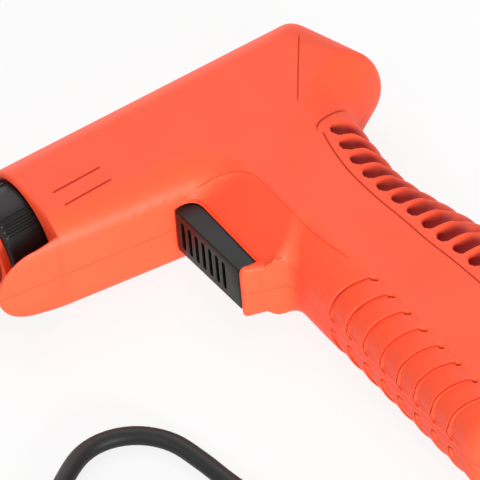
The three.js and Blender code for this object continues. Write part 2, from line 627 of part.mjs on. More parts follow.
function twistRing() {
  const inside = RING_RADIUS - RING_WALL;
  const groups = Array.from({ length: RING_RIB_GROUPS }, (_, group) =>
    Array.from({ length: RING_RIBS }, (_, rib) =>
      (360 * group) / RING_RIB_GROUPS + (rib - (RING_RIBS - 1) / 2) * RING_RIB_STEP));
  const ribs = groups.flat().map((degrees) => {
    const rib = new THREE.BoxGeometry(RING_WIDTH - 2, RING_RIB + 0.6, 0.8);
    rib.translate((RING_FRONT + RING_REAR) / 2, RING_RADIUS + (RING_RIB - 0.6) / 2, 0);
    rib.rotateX(THREE.MathUtils.degToRad(degrees + 90)).translate(0, 0, MID);
    return solid(rib);
  });
  const band = turned('x', [
    [RING_FRONT, inside], [RING_FRONT, RING_RADIUS - 0.6], [RING_FRONT + 0.6, RING_RADIUS],
    [RING_REAR - 0.4, RING_RADIUS], [RING_REAR, RING_RADIUS - 0.4], [RING_REAR, inside],
  ], [0, MID], 40);
  return union([band, ...ribs]);
}

function nozzle() {
  const shoulder = NECK_FRONT - TOUCH;
  const tip = TUBE_FRONT - BOOT_REACH - NOZZLE_REACH;
  const thread = NECK_FRONT + NECK_LENGTH - 2;
  return turned('x', [
    [tip, NOZZLE_BORE], [tip, NOZZLE_BORE + NOZZLE_TIP], [tip + NOZZLE_CONE, NOZZLE_BORE + NOZZLE_CONE_WALL],
    [shoulder - NOZZLE_HEAD_LENGTH, NOZZLE_HEAD], [shoulder, NOZZLE_HEAD], [shoulder, THREAD_RADIUS],
    [thread, THREAD_RADIUS], [thread, NOZZLE_BORE + NOZZLE_TIP], [tip + NOZZLE_THROAT, NOZZLE_BORE],
  ], [0, MID]);
}

function nozzleBoot() {
  const front = TUBE_FRONT - BOOT_REACH;
  const rear = NECK_FRONT - TOUCH - 2;
  return turned('x', [
    [front, BOOT_MOUTH], [front, BOOT_TIP_RADIUS], [TUBE_FRONT - 1.5, BOOT_RADIUS - BOOT_STEP],
    [TUBE_FRONT - 1.5, BOOT_RADIUS], [rear, BOOT_RADIUS],
    [rear, BOOT_RADIUS - BOOT_WALL], [TUBE_FRONT - 0.5, BOOT_RADIUS - BOOT_STEP - BOOT_WALL],
  ], [0, MID]);
}

// ---------------------------------------------------------------- heated chamber

function meltChamber() {
  const thread = THREAD_RADIUS + TOUCH;
  const body = turned('x', [
    [NECK_FRONT, thread], [NECK_FRONT, NECK_RADIUS], [CHAMBER_FRONT, NECK_RADIUS],
    [CHAMBER_FRONT, CHAMBER_RADIUS], [CHAMBER_REAR, CHAMBER_RADIUS],
    [CHAMBER_REAR, SPIGOT_RADIUS], [SPIGOT_REAR, SPIGOT_RADIUS],
    [SPIGOT_REAR, BORE_RADIUS], [CHAMBER_FRONT + 8, BORE_RADIUS], [CHAMBER_FRONT, thread],
  ], [0, MID], 32);
  const pad = box([PAD_FRONT, PAD_FRONT + PAD_LENGTH], [-PAD_DROP, -BORE_RADIUS - 1.2], across(PAD_HALF_WIDTH));
  return body.add(pad);
}

const chamberSupport = (x) =>
  pipe('x', SUPPORT_RADIUS, CHAMBER_RADIUS + TOUCH, x, x + SUPPORT_THICKNESS, [0, MID], 32);

const HEATER_TOP = -PAD_DROP - TOUCH;
const HEATER_BOTTOM = HEATER_TOP - HEATER_THICKNESS;
const HEATER_FRONT = PAD_FRONT + 0.8;
const HEATER_REAR = PAD_FRONT + PAD_LENGTH - 0.8;
const CLIP_BOTTOM = HEATER_BOTTOM - TOUCH - CLIP_THICKNESS;
const CLIP_FRONT = (HEATER_FRONT + HEATER_REAR - CLIP_LENGTH) / 2;

const heaterElement = () =>
  box([HEATER_FRONT, HEATER_REAR], [HEATER_BOTTOM, HEATER_TOP], across(HEATER_HALF_WIDTH));

// A spring-steel channel that clasps the chamber and presses the heater against its flat.
function heaterClip() {
  const arm = CHAMBER_RADIUS + TOUCH;
  const outside = arm + CLIP_THICKNESS;
  return prism('x', [
    [3, MID + arm], [3, MID + outside], [CLIP_BOTTOM, MID + outside],
    [CLIP_BOTTOM, MID - outside], [3, MID - outside], [3, MID - arm],
    [CLIP_BOTTOM + CLIP_THICKNESS, MID - arm], [CLIP_BOTTOM + CLIP_THICKNESS, MID + arm],
  ], CLIP_FRONT, CLIP_FRONT + CLIP_LENGTH);
}

const FUSE_Y = CLIP_BOTTOM - TOUCH - FUSE_RADIUS;
const thermalFuse = () =>
  rod('x', FUSE_RADIUS, CLIP_FRONT, CLIP_FRONT + FUSE_LENGTH, [FUSE_Y, MID + 5], 14);

// ---------------------------------------------------------------- stick path

function inletSleeve() {
  const seat = SPIGOT_REAR + TOUCH;
  return turned('x', [
    [SLEEVE_FRONT, SPIGOT_RADIUS + TOUCH], [SLEEVE_FRONT, SLEEVE_RADIUS],
    [seat, SLEEVE_RADIUS], [seat + 4, BORE_RADIUS + SLEEVE_WALL], [SLEEVE_REAR, BORE_RADIUS + SLEEVE_WALL],
    [SLEEVE_REAR, BORE_RADIUS], [seat, BORE_RADIUS], [seat, SPIGOT_RADIUS + TOUCH],
  ], [0, MID]);
}

const sleeveClamp = () =>
  pipe('x', SLEEVE_RADIUS + TOUCH + CLAMP_THICKNESS, SLEEVE_RADIUS + TOUCH,
    SLEEVE_FRONT + 1.2, SLEEVE_FRONT + 1.2 + CLAMP_WIDTH, [0, MID]);

function stickGuide() {
  return pipe('x', GUIDE_RADIUS, BORE_RADIUS, GUIDE_FRONT, GUIDE_REAR, [0, MID])
    .add(pipe('x', GUIDE_RADIUS + 0.4, BORE_RADIUS, GUIDE_FRONT, GUIDE_FRONT + 2 - TOUCH, [0, MID]));
}

// ---------------------------------------------------------------- feed

function feedCarriage() {
  const span = [CARRIAGE_FRONT, CARRIAGE_FRONT + CARRIAGE_LENGTH];
  const shoulder = RAIL_HALF + SLIDE + RAIL_WALL;
  const body = rod('x', CARRIAGE_RADIUS, ...span, [0, MID], 32)
    .add(box(span, [-shoulder, shoulder], across(CARRIAGE_HALF_WIDTH)));
  const pinY = PIVOT_Y + CARRIAGE_ARM;
  const cheek = LEVER_HALF_THICKNESS + SLIDE;
  const lug = [CARRIAGE_PIN_X - 3.2, CARRIAGE_PIN_X + 3.2];
  const cheeks = [-1, 1].map((side) =>
    box(lug, [pinY - 2.6, -CARRIAGE_RADIUS + 1.4],
      [MID + side * cheek, MID + side * (cheek + CHEEK_DEPTH)].sort((a, b) => a - b)));
  const drivePin = rod('z', DRIVE_PIN_RADIUS, MID - cheek - 1, MID + cheek + 1, [CARRIAGE_PIN_X, pinY], 16);
  const ends = [CARRIAGE_FRONT - 1, CARRIAGE_FRONT + CARRIAGE_LENGTH + 1];
  const groove = CARRIAGE_HALF_WIDTH - RAIL_DEPTH - SLIDE;
  const grooves = box(ends, [-RAIL_HALF - SLIDE, RAIL_HALF + SLIDE], across(CARRIAGE_HALF_WIDTH + 1))
    .subtract(box(ends, [-CARRIAGE_RADIUS, CARRIAGE_RADIUS], across(groove)));
  return union([body, ...cheeks, drivePin])
    .subtract(grooves)
    .subtract(rod('x', BORE_RADIUS + STICK_PLAY, ...ends, [0, MID], 32));
}

// A two-armed lever, forked at both ends, leaning back at rest by half its swing.
function feedLever() {
  const top = CARRIAGE_ARM + FORK_TIP;
  const bottom = -TRIGGER_ARM - FORK_TIP;
  const fork = DRIVE_PIN_RADIUS + SLIDE;
  const blade = prism('z', [
    [-LEVER_HALF_WIDTH, bottom], [LEVER_HALF_WIDTH, bottom], [LEVER_HALF_WIDTH + 0.6, 0],
    [LEVER_HALF_WIDTH, top], [-LEVER_HALF_WIDTH, top], [-LEVER_HALF_WIDTH - 0.6, 0],
  ], -LEVER_HALF_THICKNESS, LEVER_HALF_THICKNESS)
    .subtract(box([-fork, fork], [CARRIAGE_ARM - fork, top + 1], [-5, 5]))
    .subtract(box([-fork, fork], [bottom - 1, -TRIGGER_ARM + fork], [-5, 5]))
    .subtract(rod('z', PIVOT_PIN_RADIUS + SHAFT_PLAY, -5, 5, [0, 0]));
  return blade
    .rotate([0, 0, -THREE.MathUtils.radToDeg(SWING)])
    .translate([PIVOT_X, PIVOT_Y, MID]);
}

const leverPin = () =>
  rod('z', PIVOT_PIN_RADIUS, WALL + 1 + TOUCH, THICKNESS - WALL - 1 - TOUCH, [PIVOT_X, PIVOT_Y]);

function trigger() {
  const body = prism('z', [
    [TRIGGER_NOSE_TOP_X, TRIGGER_TOP], [TRIGGER_NOSE_BOTTOM_X, TRIGGER_BOTTOM],
    [TRIGGER_REAR, TRIGGER_BOTTOM], [TRIGGER_REAR, TRIGGER_REAR_TOP],
    [TRIGGER_STEP_X, TRIGGER_REAR_TOP], [TRIGGER_STEP_X, TRIGGER_TOP],
  ], ...across(TRIGGER_HALF_WIDTH));
  const leverSlot = box(
    [TRIGGER_PIN_X - LEVER_HALF_WIDTH - 5, TRIGGER_REAR + 1],
    [TRIGGER_PIN_Y - FORK_TIP - 2.5, TRIGGER_TOP + 1],
    across(LEVER_HALF_THICKNESS + SLIDE),
  );
  const drivePin = rod('z', DRIVE_PIN_RADIUS, ...across(LEVER_HALF_THICKNESS + SLIDE + 1), [TRIGGER_PIN_X, TRIGGER_PIN_Y], 16);
  const pocket = rod('x', SPRING_RADIUS + SPRING_WIRE + SLIDE, TRIGGER_REAR - SPRING_POCKET, TRIGGER_REAR + 1, [SPRING_Y, MID]);
  return body.subtract(leverSlot).add(drivePin).subtract(pocket);
}

function triggerSpring() {
  const rear = SPRING_SEAT_X - SPRING_WIRE;
  const points = [];
  const stepsPerTurn = 8;
  for (let i = 0; i <= SPRING_TURNS * stepsPerTurn; i++) {
    const turn = (2 * Math.PI * i) / stepsPerTurn;
    const along = SPRING_FRONT + ((rear - SPRING_FRONT) * i) / (SPRING_TURNS * stepsPerTurn);
    points.push([along, SPRING_Y + SPRING_RADIUS * Math.cos(turn), MID + SPRING_RADIUS * Math.sin(turn)]);
  }
  return wire(points, SPRING_WIRE, SPRING_TURNS * stepsPerTurn, 4);
}

// ---------------------------------------------------------------- power lead

const BLOCK_TOP = BLOCK_Y + BLOCK_HALF[1];
const BLOCK_BOTTOM = BLOCK_Y - BLOCK_HALF[1];

const terminalBlock = () =>
  box(
    [CORD_X - BLOCK_HALF[0], CORD_X + BLOCK_HALF[0]],
    [BLOCK_BOTTOM, BLOCK_TOP],
    across(BLOCK_HALF[2]),
  );

// A lead from the terminal block, past the trigger's side, to the heater's end.
function heaterLead(side) {
  const wide = TRIGGER_HALF_WIDTH + 2 + LEAD_RADIUS + 0.9;
  const z = MID + side * wide;
  return wire([
    [CORD_X + side * 3, BLOCK_TOP + TOUCH, MID + side * 3],
    [CORD_X + side * 3, BLOCK_TOP + 3, MID + side * 3],
    [CORD_X - 3, BLOCK_TOP + 11, MID + side * 7],
    [17, BLOCK_TOP + 24, z],
    [13, LIP_TOP + 4, z],
    [12, PIVOT_Y - 10, z],
    [11, PIVOT_Y + 1, z],
    [4, -17.5, z],
    [CHAMBER_REAR + 7, -15.4, MID + side * 8],
    [REAR_SUPPORT_X + 1, -15.8, MID + side * 5],
    [HEATER_REAR + TOUCH + 2.4, HEATER_BOTTOM - 0.6, MID + side * 4],
    [HEATER_REAR + TOUCH + 1.3, HEATER_BOTTOM + LEAD_RADIUS - 0.2, MID + side * 4],
    [HEATER_REAR + TOUCH + 0.1, HEATER_BOTTOM + LEAD_RADIUS, MID + side * 4],
  ], LEAD_RADIUS, 32, 6);
}

function cordClamp() {
  const x = [CORD_X - CLAMP_HALF[0], CORD_X + CLAMP_HALF[0]];
  const y = [CLAMP_Y - CLAMP_HALF[1], CLAMP_Y + CLAMP_HALF[1]];
  const channel = CORD_RADIUS + TOUCH;
  return box(x, y, [MID - CORD_RADIUS, MID + CORD_RADIUS + 3])
    .subtract(box([CORD_X - channel, CORD_X + channel], [y[0] - 1, y[1] + 1], [MID - CORD_RADIUS - 1, MID]))
    .subtract(rod('y', channel, y[0] - 1, y[1] + 1, [MID, CORD_X]))
    .subtract(union([-1, 1].map((side) =>
      rod('z', SCREW_RADIUS + SHAFT_PLAY, 0, THICKNESS, [CORD_X + side * CLAMP_SCREW_OFFSET, CLAMP_Y]))));
}

function clampScrew(side) {
  const place = [CORD_X + side * CLAMP_SCREW_OFFSET, CLAMP_Y];
  const head = MID + CORD_RADIUS + 3 + TOUCH;
  return rod('z', SCREW_HEAD_RADIUS, head, head + SCREW_HEAD, place)
    .add(rod('z', SCREW_RADIUS, MID - CORD_RADIUS - TOUCH - 7, head + 1, place, 10));
}

const RELIEF_END = HANDLE_BOTTOM - RELIEF_LENGTH;
function strainRelief() {
  const bore = CORD_RADIUS + TOUCH;
  return turned('y', [
    [RELIEF_END, bore], [RELIEF_END, RELIEF_TIP], [HANDLE_BOTTOM - TOUCH, RELIEF_ROOT],
    [HANDLE_BOTTOM - TOUCH, RELIEF_NECK], [FOOT_INSIDE + TOUCH, RELIEF_NECK],
    [FOOT_INSIDE + TOUCH, RELIEF_FLANGE], [FOOT_INSIDE + TOUCH + 2.4, RELIEF_FLANGE],
    [FOOT_INSIDE + TOUCH + 2.4, bore],
  ], [MID, CORD_X]);
}

const innerCord = () =>
  rod('y', CORD_RADIUS, RELIEF_END, BLOCK_BOTTOM - TOUCH, [MID, CORD_X], 16);

// The free lead's route: out of the relief, down to the table, round under the handle, forward
// past the belly in a loose arch, and on to the coil.
const ON_TABLE = CORD_RADIUS + 0.1;
const CORD_ROUTE = [
  [CORD_X, RELIEF_END - TOUCH, MID],
  [CORD_X, RELIEF_END - 3.5, MID],
  [CORD_X, -184.5, 16.2],
  [24.6, -192, 13.4],
  [20.6, -199.6, 9.4],
  [14.4, -205.4, 5.8],
  [6.4, -208.8, 3.6],
  [-2.2, -209, ON_TABLE],
  [-10.6, -206, ON_TABLE],
  [-17.6, -200.4, ON_TABLE],
  [-23, -192, ON_TABLE],
  [-27, -181, ON_TABLE],
  [-30.4, -167, ON_TABLE],
  [-33.8, -151, ON_TABLE],
  [-37.6, -134, ON_TABLE],
  [-41, -121, ON_TABLE],
  [-44, -109, ON_TABLE],
  [-46.2, -97.5, ON_TABLE],
  [-47.6, -87.5, ON_TABLE],
  [-50, -77.2, ON_TABLE],
  [-55.4, -69.8, ON_TABLE],
  [-63, -65.8, ON_TABLE],
  [-71.4, -65.8, ON_TABLE],
  [-80.5, -70.5, ON_TABLE],
  [-90.6, -78.2, ON_TABLE],
  [-101, -87.6, ON_TABLE],
  [-110.9, -98.4, ON_TABLE],
];
const powerCord = () => wire(CORD_ROUTE, CORD_RADIUS, 48, 8);

const cordCoil = () =>
  pipe('z', COIL.outer, COIL.inner, 0.1, COIL.height, [COIL.x, COIL.y], 36);

// From the coil to the plug.
const TAIL_ROUTE = [
  [COIL.x - 32, COIL.y - 23.2, ON_TABLE],
  [COIL.x - 32, COIL.y - 28, ON_TABLE + 0.2],
  [COIL.x - 31.4, COIL.y - 36, ON_TABLE + 2.8],
  [PLUG.x, PLUG.y + PLUG.neck + 4, PLUG.height],
  [PLUG.x, PLUG.y + PLUG.neck + TOUCH, PLUG.height],
];
const cordTail = () => wire(TAIL_ROUTE, CORD_RADIUS, 10, 8);

// A moulded two-pin plug that lies beside the coil, its pins pointing away.
const plugBody = () =>
  prism('y', [
    [PLUG.height - 8, PLUG.x - 8], [PLUG.height - 8, PLUG.x + 8], [PLUG.height - 5, PLUG.x + 12],
    [PLUG.height + 5, PLUG.x + 12], [PLUG.height + 8, PLUG.x + 8], [PLUG.height + 8, PLUG.x - 8],
    [PLUG.height + 5, PLUG.x - 12], [PLUG.height - 5, PLUG.x - 12],
  ], PLUG.y - PLUG.length, PLUG.y)
    .add(rod('y', CORD_RADIUS + 1.6, PLUG.y - 1, PLUG.y + PLUG.neck, [PLUG.height, PLUG.x], 12));

const plugBlade = (side) =>
  box(
    [PLUG.x + side * 6.35 - 0.75, PLUG.x + side * 6.35 + 0.75],
    [PLUG.y - PLUG.length - TOUCH - PLUG.pins, PLUG.y - PLUG.length - TOUCH],
    [PLUG.height - 3.2, PLUG.height + 3.2],
  );

// ---------------------------------------------------------------- assembly

// A solid as a named mesh.
function part(name, shape, material) {
  const { numProp, vertProperties, triVerts } = shape.getMesh();
  const positions = new Float32Array((vertProperties.length / numProp) * 3);
  for (let i = 0; i < positions.length; i++) {
    positions[i] = vertProperties[Math.floor(i / 3) * numProp + (i % 3)];
  }
  const geometry = new THREE.BufferGeometry();
  geometry.setAttribute('position', new THREE.Float32BufferAttribute(positions, 3));
  geometry.setIndex(Array.from(triVerts));
  geometry.computeVertexNormals();
  const mesh = new THREE.Mesh(geometry, material);
  mesh.name = name;
  return mesh;
}

const glueGun = new THREE.Group();
glueGun.name = 'glue_gun';
glueGun.add(
  part('right_housing', housing.intersect(below), shellPlastic),
  part('left_housing', housing.intersect(above), shellPlastic),
  part('nose_ring', twistRing(), blackPlastic),
  part('nozzle', nozzle(), brass),
  part('nozzle_boot', nozzleBoot(), redSilicone),
  part('melt_chamber', meltChamber(), aluminium),
  part('chamber_support_front', chamberSupport(FRONT_SUPPORT_X), mica),
  part('chamber_support_rear', chamberSupport(REAR_SUPPORT_X), mica),
  part('heater_element', heaterElement(), ceramic),
  part('heater_clip', heaterClip(), steel),
  part('thermal_fuse', thermalFuse(), ceramic),
  part('inlet_sleeve', inletSleeve(), redSilicone),
  part('sleeve_clamp', sleeveClamp(), steel),
  part('stick_guide', stickGuide(), blackPlastic),
  part('feed_carriage', feedCarriage(), nylon),
  part('feed_lever', feedLever(), nylon),
  part('lever_pin', leverPin(), steel),
  part('trigger', trigger(), blackPlastic),
  part('trigger_spring', triggerSpring(), steel),
  part('terminal_block', terminalBlock(), ceramic),
  part('live_lead', heaterLead(1), redSilicone),
  part('neutral_lead', heaterLead(-1), nylon),
  part('cord_clamp', cordClamp(), nylon),
  part('clamp_screw_1', clampScrew(-1), steel),
  part('clamp_screw_2', clampScrew(1), steel),
  part('strain_relief', strainRelief(), rubber),
  part('inner_cord', innerCord(), rubber),
  part('power_cord', powerCord(), rubber),
  part('cord_coil', cordCoil(), rubber),
  part('cord_tail', cordTail(), rubber),
  part('power_plug', plugBody(), rubber),
  part('plug_blade_1', plugBlade(-1), brass),
  part('plug_blade_2', plugBlade(1), brass),
  ...SCREW_PLACES.map((place, i) => part(`housing_screw_${i + 1}`, housingScrew(place), steel)),
);

export default glueGun;
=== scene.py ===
"""A corded hot-melt glue gun lying on its side: its moulded shells, trigger, nose ring and lead."""
import json
import math

import bmesh
import bpy
from mathutils import Matrix, Vector, kdtree
from mathutils.bvhtree import BVHTree


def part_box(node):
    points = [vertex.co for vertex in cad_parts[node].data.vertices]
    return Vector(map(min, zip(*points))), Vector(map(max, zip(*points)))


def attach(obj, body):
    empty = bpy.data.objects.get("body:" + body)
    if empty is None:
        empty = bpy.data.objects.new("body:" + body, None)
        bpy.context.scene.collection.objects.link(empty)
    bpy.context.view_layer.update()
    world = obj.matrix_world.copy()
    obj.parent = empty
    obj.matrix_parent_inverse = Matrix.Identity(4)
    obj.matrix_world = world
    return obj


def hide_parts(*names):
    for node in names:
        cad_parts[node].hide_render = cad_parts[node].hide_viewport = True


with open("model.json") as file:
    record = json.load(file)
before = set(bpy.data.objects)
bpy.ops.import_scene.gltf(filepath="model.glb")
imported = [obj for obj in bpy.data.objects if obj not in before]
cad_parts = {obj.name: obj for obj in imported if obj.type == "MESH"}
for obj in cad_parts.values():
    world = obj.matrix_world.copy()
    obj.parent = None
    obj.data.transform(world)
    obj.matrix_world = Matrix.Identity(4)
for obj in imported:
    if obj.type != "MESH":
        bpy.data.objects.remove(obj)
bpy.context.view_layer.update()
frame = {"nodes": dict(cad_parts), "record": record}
nodes = frame["nodes"]

MM = 0.001
SHELL_LOW, SHELL_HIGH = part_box("right_housing")[0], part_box("left_housing")[1]
HALF = (SHELL_HIGH.z - SHELL_LOW.z) / 2 / MM     # half the gun's thickness, mm
MID = HALF                                       # height of the plane where the shells meet, mm
THICK = 2 * HALF                                 # height of the upper side, mm


# ---------------------------------------------------------------- camera, light and floor

AIM = (-1.5, -39.5, MID)          # mm
AZIMUTH, ELEVATION, ROLL = -30.35, 47.4, 5.5
CAMERA_DISTANCE, LAMP_DISTANCE = 6, 1.2          # metres
VIEW_WIDTH = 0.128                # metres across the frame, at the aim
LAMPS = [                         # name, azimuth, elevation, watts and width in metres
    ("key", -6, 9, 21, 0.5),
    ("above", 150, 62, 5.5, 1.0),
    ("fill", 172, 12, 5, 0.9),
    ("nose", -80, 25, 3.2, 0.9),
]
FLOOR_GLOW = 0.85                 # how far the floor is plain white to the camera
WORLD_LIGHT = 0.38                # strength of the light from all round


def look(azimuth, elevation, roll=0.0):
    """The turn of a camera or lamp that looks at the object from there."""
    a, e, r = (math.radians(angle) for angle in (azimuth, elevation, roll))
    back = Vector((math.sin(a) * math.cos(e), -math.cos(a) * math.cos(e), math.sin(e)))
    level = Vector((math.cos(a), math.sin(a), 0))
    rise = back.cross(level)
    right = level * math.cos(r) - rise * math.sin(r)
    up = rise * math.cos(r) + level * math.sin(r)
    return Matrix((right, up, back)).transposed().to_4x4()


def make_camera():
    lens = bpy.data.cameras.new("camera")
    camera = bpy.data.objects.new("camera", lens)
    bpy.context.collection.objects.link(camera)
    lens.lens = lens.sensor_width * CAMERA_DISTANCE / VIEW_WIDTH
    lens.clip_start, lens.clip_end = 0.05, 20
    turn = look(AZIMUTH, ELEVATION, ROLL)
    place = Vector(AIM) * MM + turn.to_3x3().col[2] * CAMERA_DISTANCE
    camera.matrix_world = Matrix.Translation(place) @ turn
    bpy.context.scene.camera = camera


def make_lamp(name, azimuth, elevation, watts, size):
    light = bpy.data.lights.new(name, "AREA")
    light.shape, light.size, light.energy = "DISK", size, watts
    lamp = bpy.data.objects.new(name, light)
    bpy.context.collection.objects.link(lamp)
    turn = look(azimuth, elevation)
    lamp.matrix_world = Matrix.Translation(Vector(AIM) * MM + turn.to_3x3().col[2] * LAMP_DISTANCE) @ turn


# ---------------------------------------------------------------- shader expressions

class Socket:
    """A node's output that takes part in Python arithmetic: each operator adds a Math node."""

    def __init__(self, paints, link):
        self.paints, self.link = paints, link

    def _math(self, operation, *values, **settings):
        return self.paints.node("ShaderNodeMath", {"operation": operation, **settings}, *values)

    def __add__(self, other):
        return self._math("ADD", self, other)

    __radd__ = __add__

    def __mul__(self, other):
        return self._math("MULTIPLY", self, other)

    __rmul__ = __mul__

    def clamp(self):
        return self._math("ADD", self, 0.0, use_clamp=True)


class Nodes:
    """A tree of shader nodes. node() adds one with its settings and the values of its inputs."""

    def __init__(self, tree):
        self.tree = tree

    def node(self, kind, settings=None, *values, out=0, **named):
        made = self.tree.nodes.new(kind)
        for key, value in (settings or {}).items():
            setattr(made, key, value)
        inputs = list(enumerate(values)) + [(key.replace("_", " "), value) for key, value in named.items()]
        for key, value in inputs:
            self.feed(made.inputs[key], value)
        return Socket(self, made.outputs[out])

    def feed(self, entry, value):
        if isinstance(value, Socket):
            self.tree.links.new(value.link, entry)
        else:
            entry.default_value = value

    def seen_by(self, *kinds):
        """1 for these kinds of ray and 0 for all others."""
        seen, *others = [self.node("ShaderNodeLightPath", out=kind) for kind in kinds]
        for other in others:
            seen = seen + other
        return seen.clamp()


class Finish(Nodes):
    """A material with its shader and what feeds it."""

    def __init__(self, name):
        self.material = bpy.data.materials.new(name)
        self.material.use_nodes = True
        super().__init__(self.material.node_tree)
        self.shader = self.tree.nodes["Principled BSDF"]
        self.output = self.tree.nodes["Material Output"]

    def set(self, **values):
        for key, value in values.items():
            entry = self.shader.inputs[key.replace("_", " ")]
            self.feed(entry, (*value, 1) if isinstance(value, tuple) and len(value) == 3 else value)
        return self

    def place(self):
        """Where a point is in the object's own frame."""
        return self.node("ShaderNodeTexCoord", out="Object")

    def noise(self, scale, detail, roughness=0.5):
        return self.node("ShaderNodeTexNoise", None, Vector=self.place(), Scale=scale, Detail=detail,
                         Roughness=roughness)

    def bump(self, height, distance, strength):
        return self.node("ShaderNodeBump", None, Strength=strength, Distance=distance, Height=height)

    def mix(self, amount, first, second):
        blend = self.node("ShaderNodeMix", {"data_type": "RGBA"}, amount, out=2)
        for entry, tone in zip(blend.link.node.inputs[6:8], (first, second)):
            self.feed(entry, tone if isinstance(tone, Socket) else (*tone, 1))
        return blend


def colour(code):
    """A hex colour as the shader's linear numbers."""
    parts = [int(code[i:i + 2], 16) / 255 for i in (0, 2, 4)]
    return tuple(c / 12.92 if c <= 0.04045 else ((c + 0.055) / 1.055) ** 2.4 for c in parts)


# ---------------------------------------------------------------- finishes

GRAIN_HEIGHT = 0.00002            # metres


def shell_plastic():
    """Coral-orange moulded plastic with a fine spark texture, and painted shade, deep red, where the 'pocket'
    attribute marks the grip's pockets, the grooves and the recess.
    """
    finish = Finish("coral_plastic")
    cloud = finish.noise(60, 3)
    tone = finish.mix(cloud * 0.5, colour("ff5733"), colour("fe502c"))
    # Painted shade: the 'pocket' attribute mixes in a deep red down the grip's pockets, in the grooves and in
    # the recess.
    pocket = finish.node("ShaderNodeAttribute", {"attribute_name": "pocket"}, out="Fac")
    tone = finish.mix((pocket * 1.4).clamp(), tone, colour("9a0805"))
    grain = finish.noise(2600, 2, 0.6)
    finish.set(Base_Color=tone, Roughness=0.48 + cloud * 0.08, Specular_IOR_Level=0.3,
               Normal=finish.bump(grain, GRAIN_HEIGHT, 0.35))
    return finish.material


def plain(name, code, roughness, metallic=0.0, grain=900, shine=0.5):
    """One colour, a little cloudy, with a fine grain."""
    finish = Finish(name)
    speckle = finish.noise(grain, 3)
    cloud = finish.noise(120, 2)
    base = colour(code)
    finish.set(Base_Color=finish.mix(cloud * 0.4, base, tuple(0.8 * c for c in base)),
               Roughness=roughness - 0.05 + speckle * 0.1, Metallic=metallic, Specular_IOR_Level=shine,
               Normal=finish.bump(speckle, GRAIN_HEIGHT, 0.4))
    return finish.material


SHELL = shell_plastic()
BLACK = plain("black_plastic", "121011", 0.42, shine=0.25)
NYLON = plain("nylon", "e7e2d5", 0.5)
SILICONE = plain("red_silicone", "b93a26", 0.6)
BOARD = plain("heatproof_board", "b7a88a", 0.85, grain=1600)
ALUMINIUM = plain("cast_aluminium", "b9bcc0", 0.45, 1.0)
BRASS = plain("brass", "c9a24e", 0.32, 1.0)
STEEL = plain("zinc_steel", "9ea3a8", 0.34, 1.0)
CERAMIC = plain("ceramic", "eeeae0", 0.6)
RUBBER = plain("cord_rubber", "1c1b1d", 0.5, shine=0.3)

BY_SLOT = {
    "shell_plastic": SHELL, "black_plastic": BLACK, "nylon": NYLON, "red_silicone": SILICONE,
    "mica_board": BOARD, "cast_aluminium": ALUMINIUM, "brass": BRASS, "steel": STEEL,
    "ceramic": CERAMIC, "black_rubber": RUBBER,
}


def dress_nodes():
    for part in frame["record"]["subparts"]:
        mesh = nodes[part["node"]].data
        mesh.materials.clear()
        mesh.materials.append(BY_SLOT[part["material_slot"]])


# ---------------------------------------------------------------- mesh helpers

def piece(name, bm, body, material):
    """A finished mesh as an object that rides on a body."""
    mesh = bpy.data.meshes.new(name)
    bm.to_mesh(mesh)
    bm.free()
    made = bpy.data.objects.new(name, mesh)
    bpy.context.collection.objects.link(made)
    mesh.materials.append(material)
    if body:
        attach(made, body)
    return made


def scratch(bm):
    """A mesh that only cuts or joins others."""
    return piece("scratch", bm, None, SHELL)


def combined(target, operation, tools):
    """Joins or cuts the target with each tool, and removes the tools."""
    for tool in tools:
        change = target.modifiers.new("change", "BOOLEAN")
        change.operation, change.solver, change.object = operation, "MANIFOLD", tool
    graph = bpy.context.evaluated_depsgraph_get()
    changed = bpy.data.meshes.new_from_object(target.evaluated_get(graph))
    target.modifiers.clear()
    target.data = changed
    for tool in tools:
        bpy.data.objects.remove(tool)
    return target


def smooth(target, degrees=35):
    mesh = target.data
    mesh.polygons.foreach_set("use_smooth", [True] * len(mesh.polygons))
    mesh.set_sharp_from_angle(angle=math.radians(degrees))
    return target


def ring_of(bm, points):
    """A closed loop of edges through the points."""
    verts = [bm.verts.new(p) for p in points]
    edges = [bm.edges.new((verts[i - 1], verts[i])) for i in range(len(verts))]
    return verts, edges


def stacked(rings):
    """A closed skin over loops of equally many points, in mm."""
    bm = bmesh.new()
    verts, edges = ring_of(bm, [Vector(p) * MM for p in rings[0]])
    bmesh.ops.contextual_create(bm, geom=edges)
    for ring in rings[1:]:
        made = bmesh.ops.extrude_edge_only(bm, edges=edges)["geom"]
        edges = [part for part in made if isinstance(part, bmesh.types.BMEdge)]
        fresh = {part for part in made if isinstance(part, bmesh.types.BMVert)}
        follow = []
        for old in verts:
            beside = (edge.other_vert(old) for edge in old.link_edges)
            follow.append(next(vert for vert in beside if vert in fresh))
        verts = follow
        for vert, place in zip(verts, ring):
            vert.co = Vector(place) * MM
    bmesh.ops.contextual_create(bm, geom=edges)
    bmesh.ops.remove_doubles(bm, verts=bm.verts[:], dist=2e-6)
    bmesh.ops.recalc_face_normals(bm, faces=bm.faces[:])
    return bm


def block(x, y, z):
    """A box between two places on each axis, in mm."""
    bm = bmesh.new()
    bmesh.ops.create_cube(bm, size=1)
    size = [abs(b - a) * MM for a, b in (x, y, z)]
    centre = Vector([(a + b) / 2 * MM for a, b in (x, y, z)])
    bmesh.ops.scale(bm, verts=bm.verts[:], vec=size)
    bmesh.ops.translate(bm, verts=bm.verts[:], vec=centre)
    return bm


def rod(radius, start, end, segments):
    """A round bar between two points, in mm."""
    bm = bmesh.new()
    start, end = Vector(start), Vector(end)
    turn = (end - start).to_track_quat("Z", "Y").to_matrix().to_4x4()
    place = Matrix.Translation((start + end) / 2 * MM) @ turn
    bmesh.ops.create_cone(bm, cap_ends=True, segments=segments, radius1=radius * MM, radius2=radius * MM,
                          depth=(end - start).length * MM, matrix=place)
    return bm


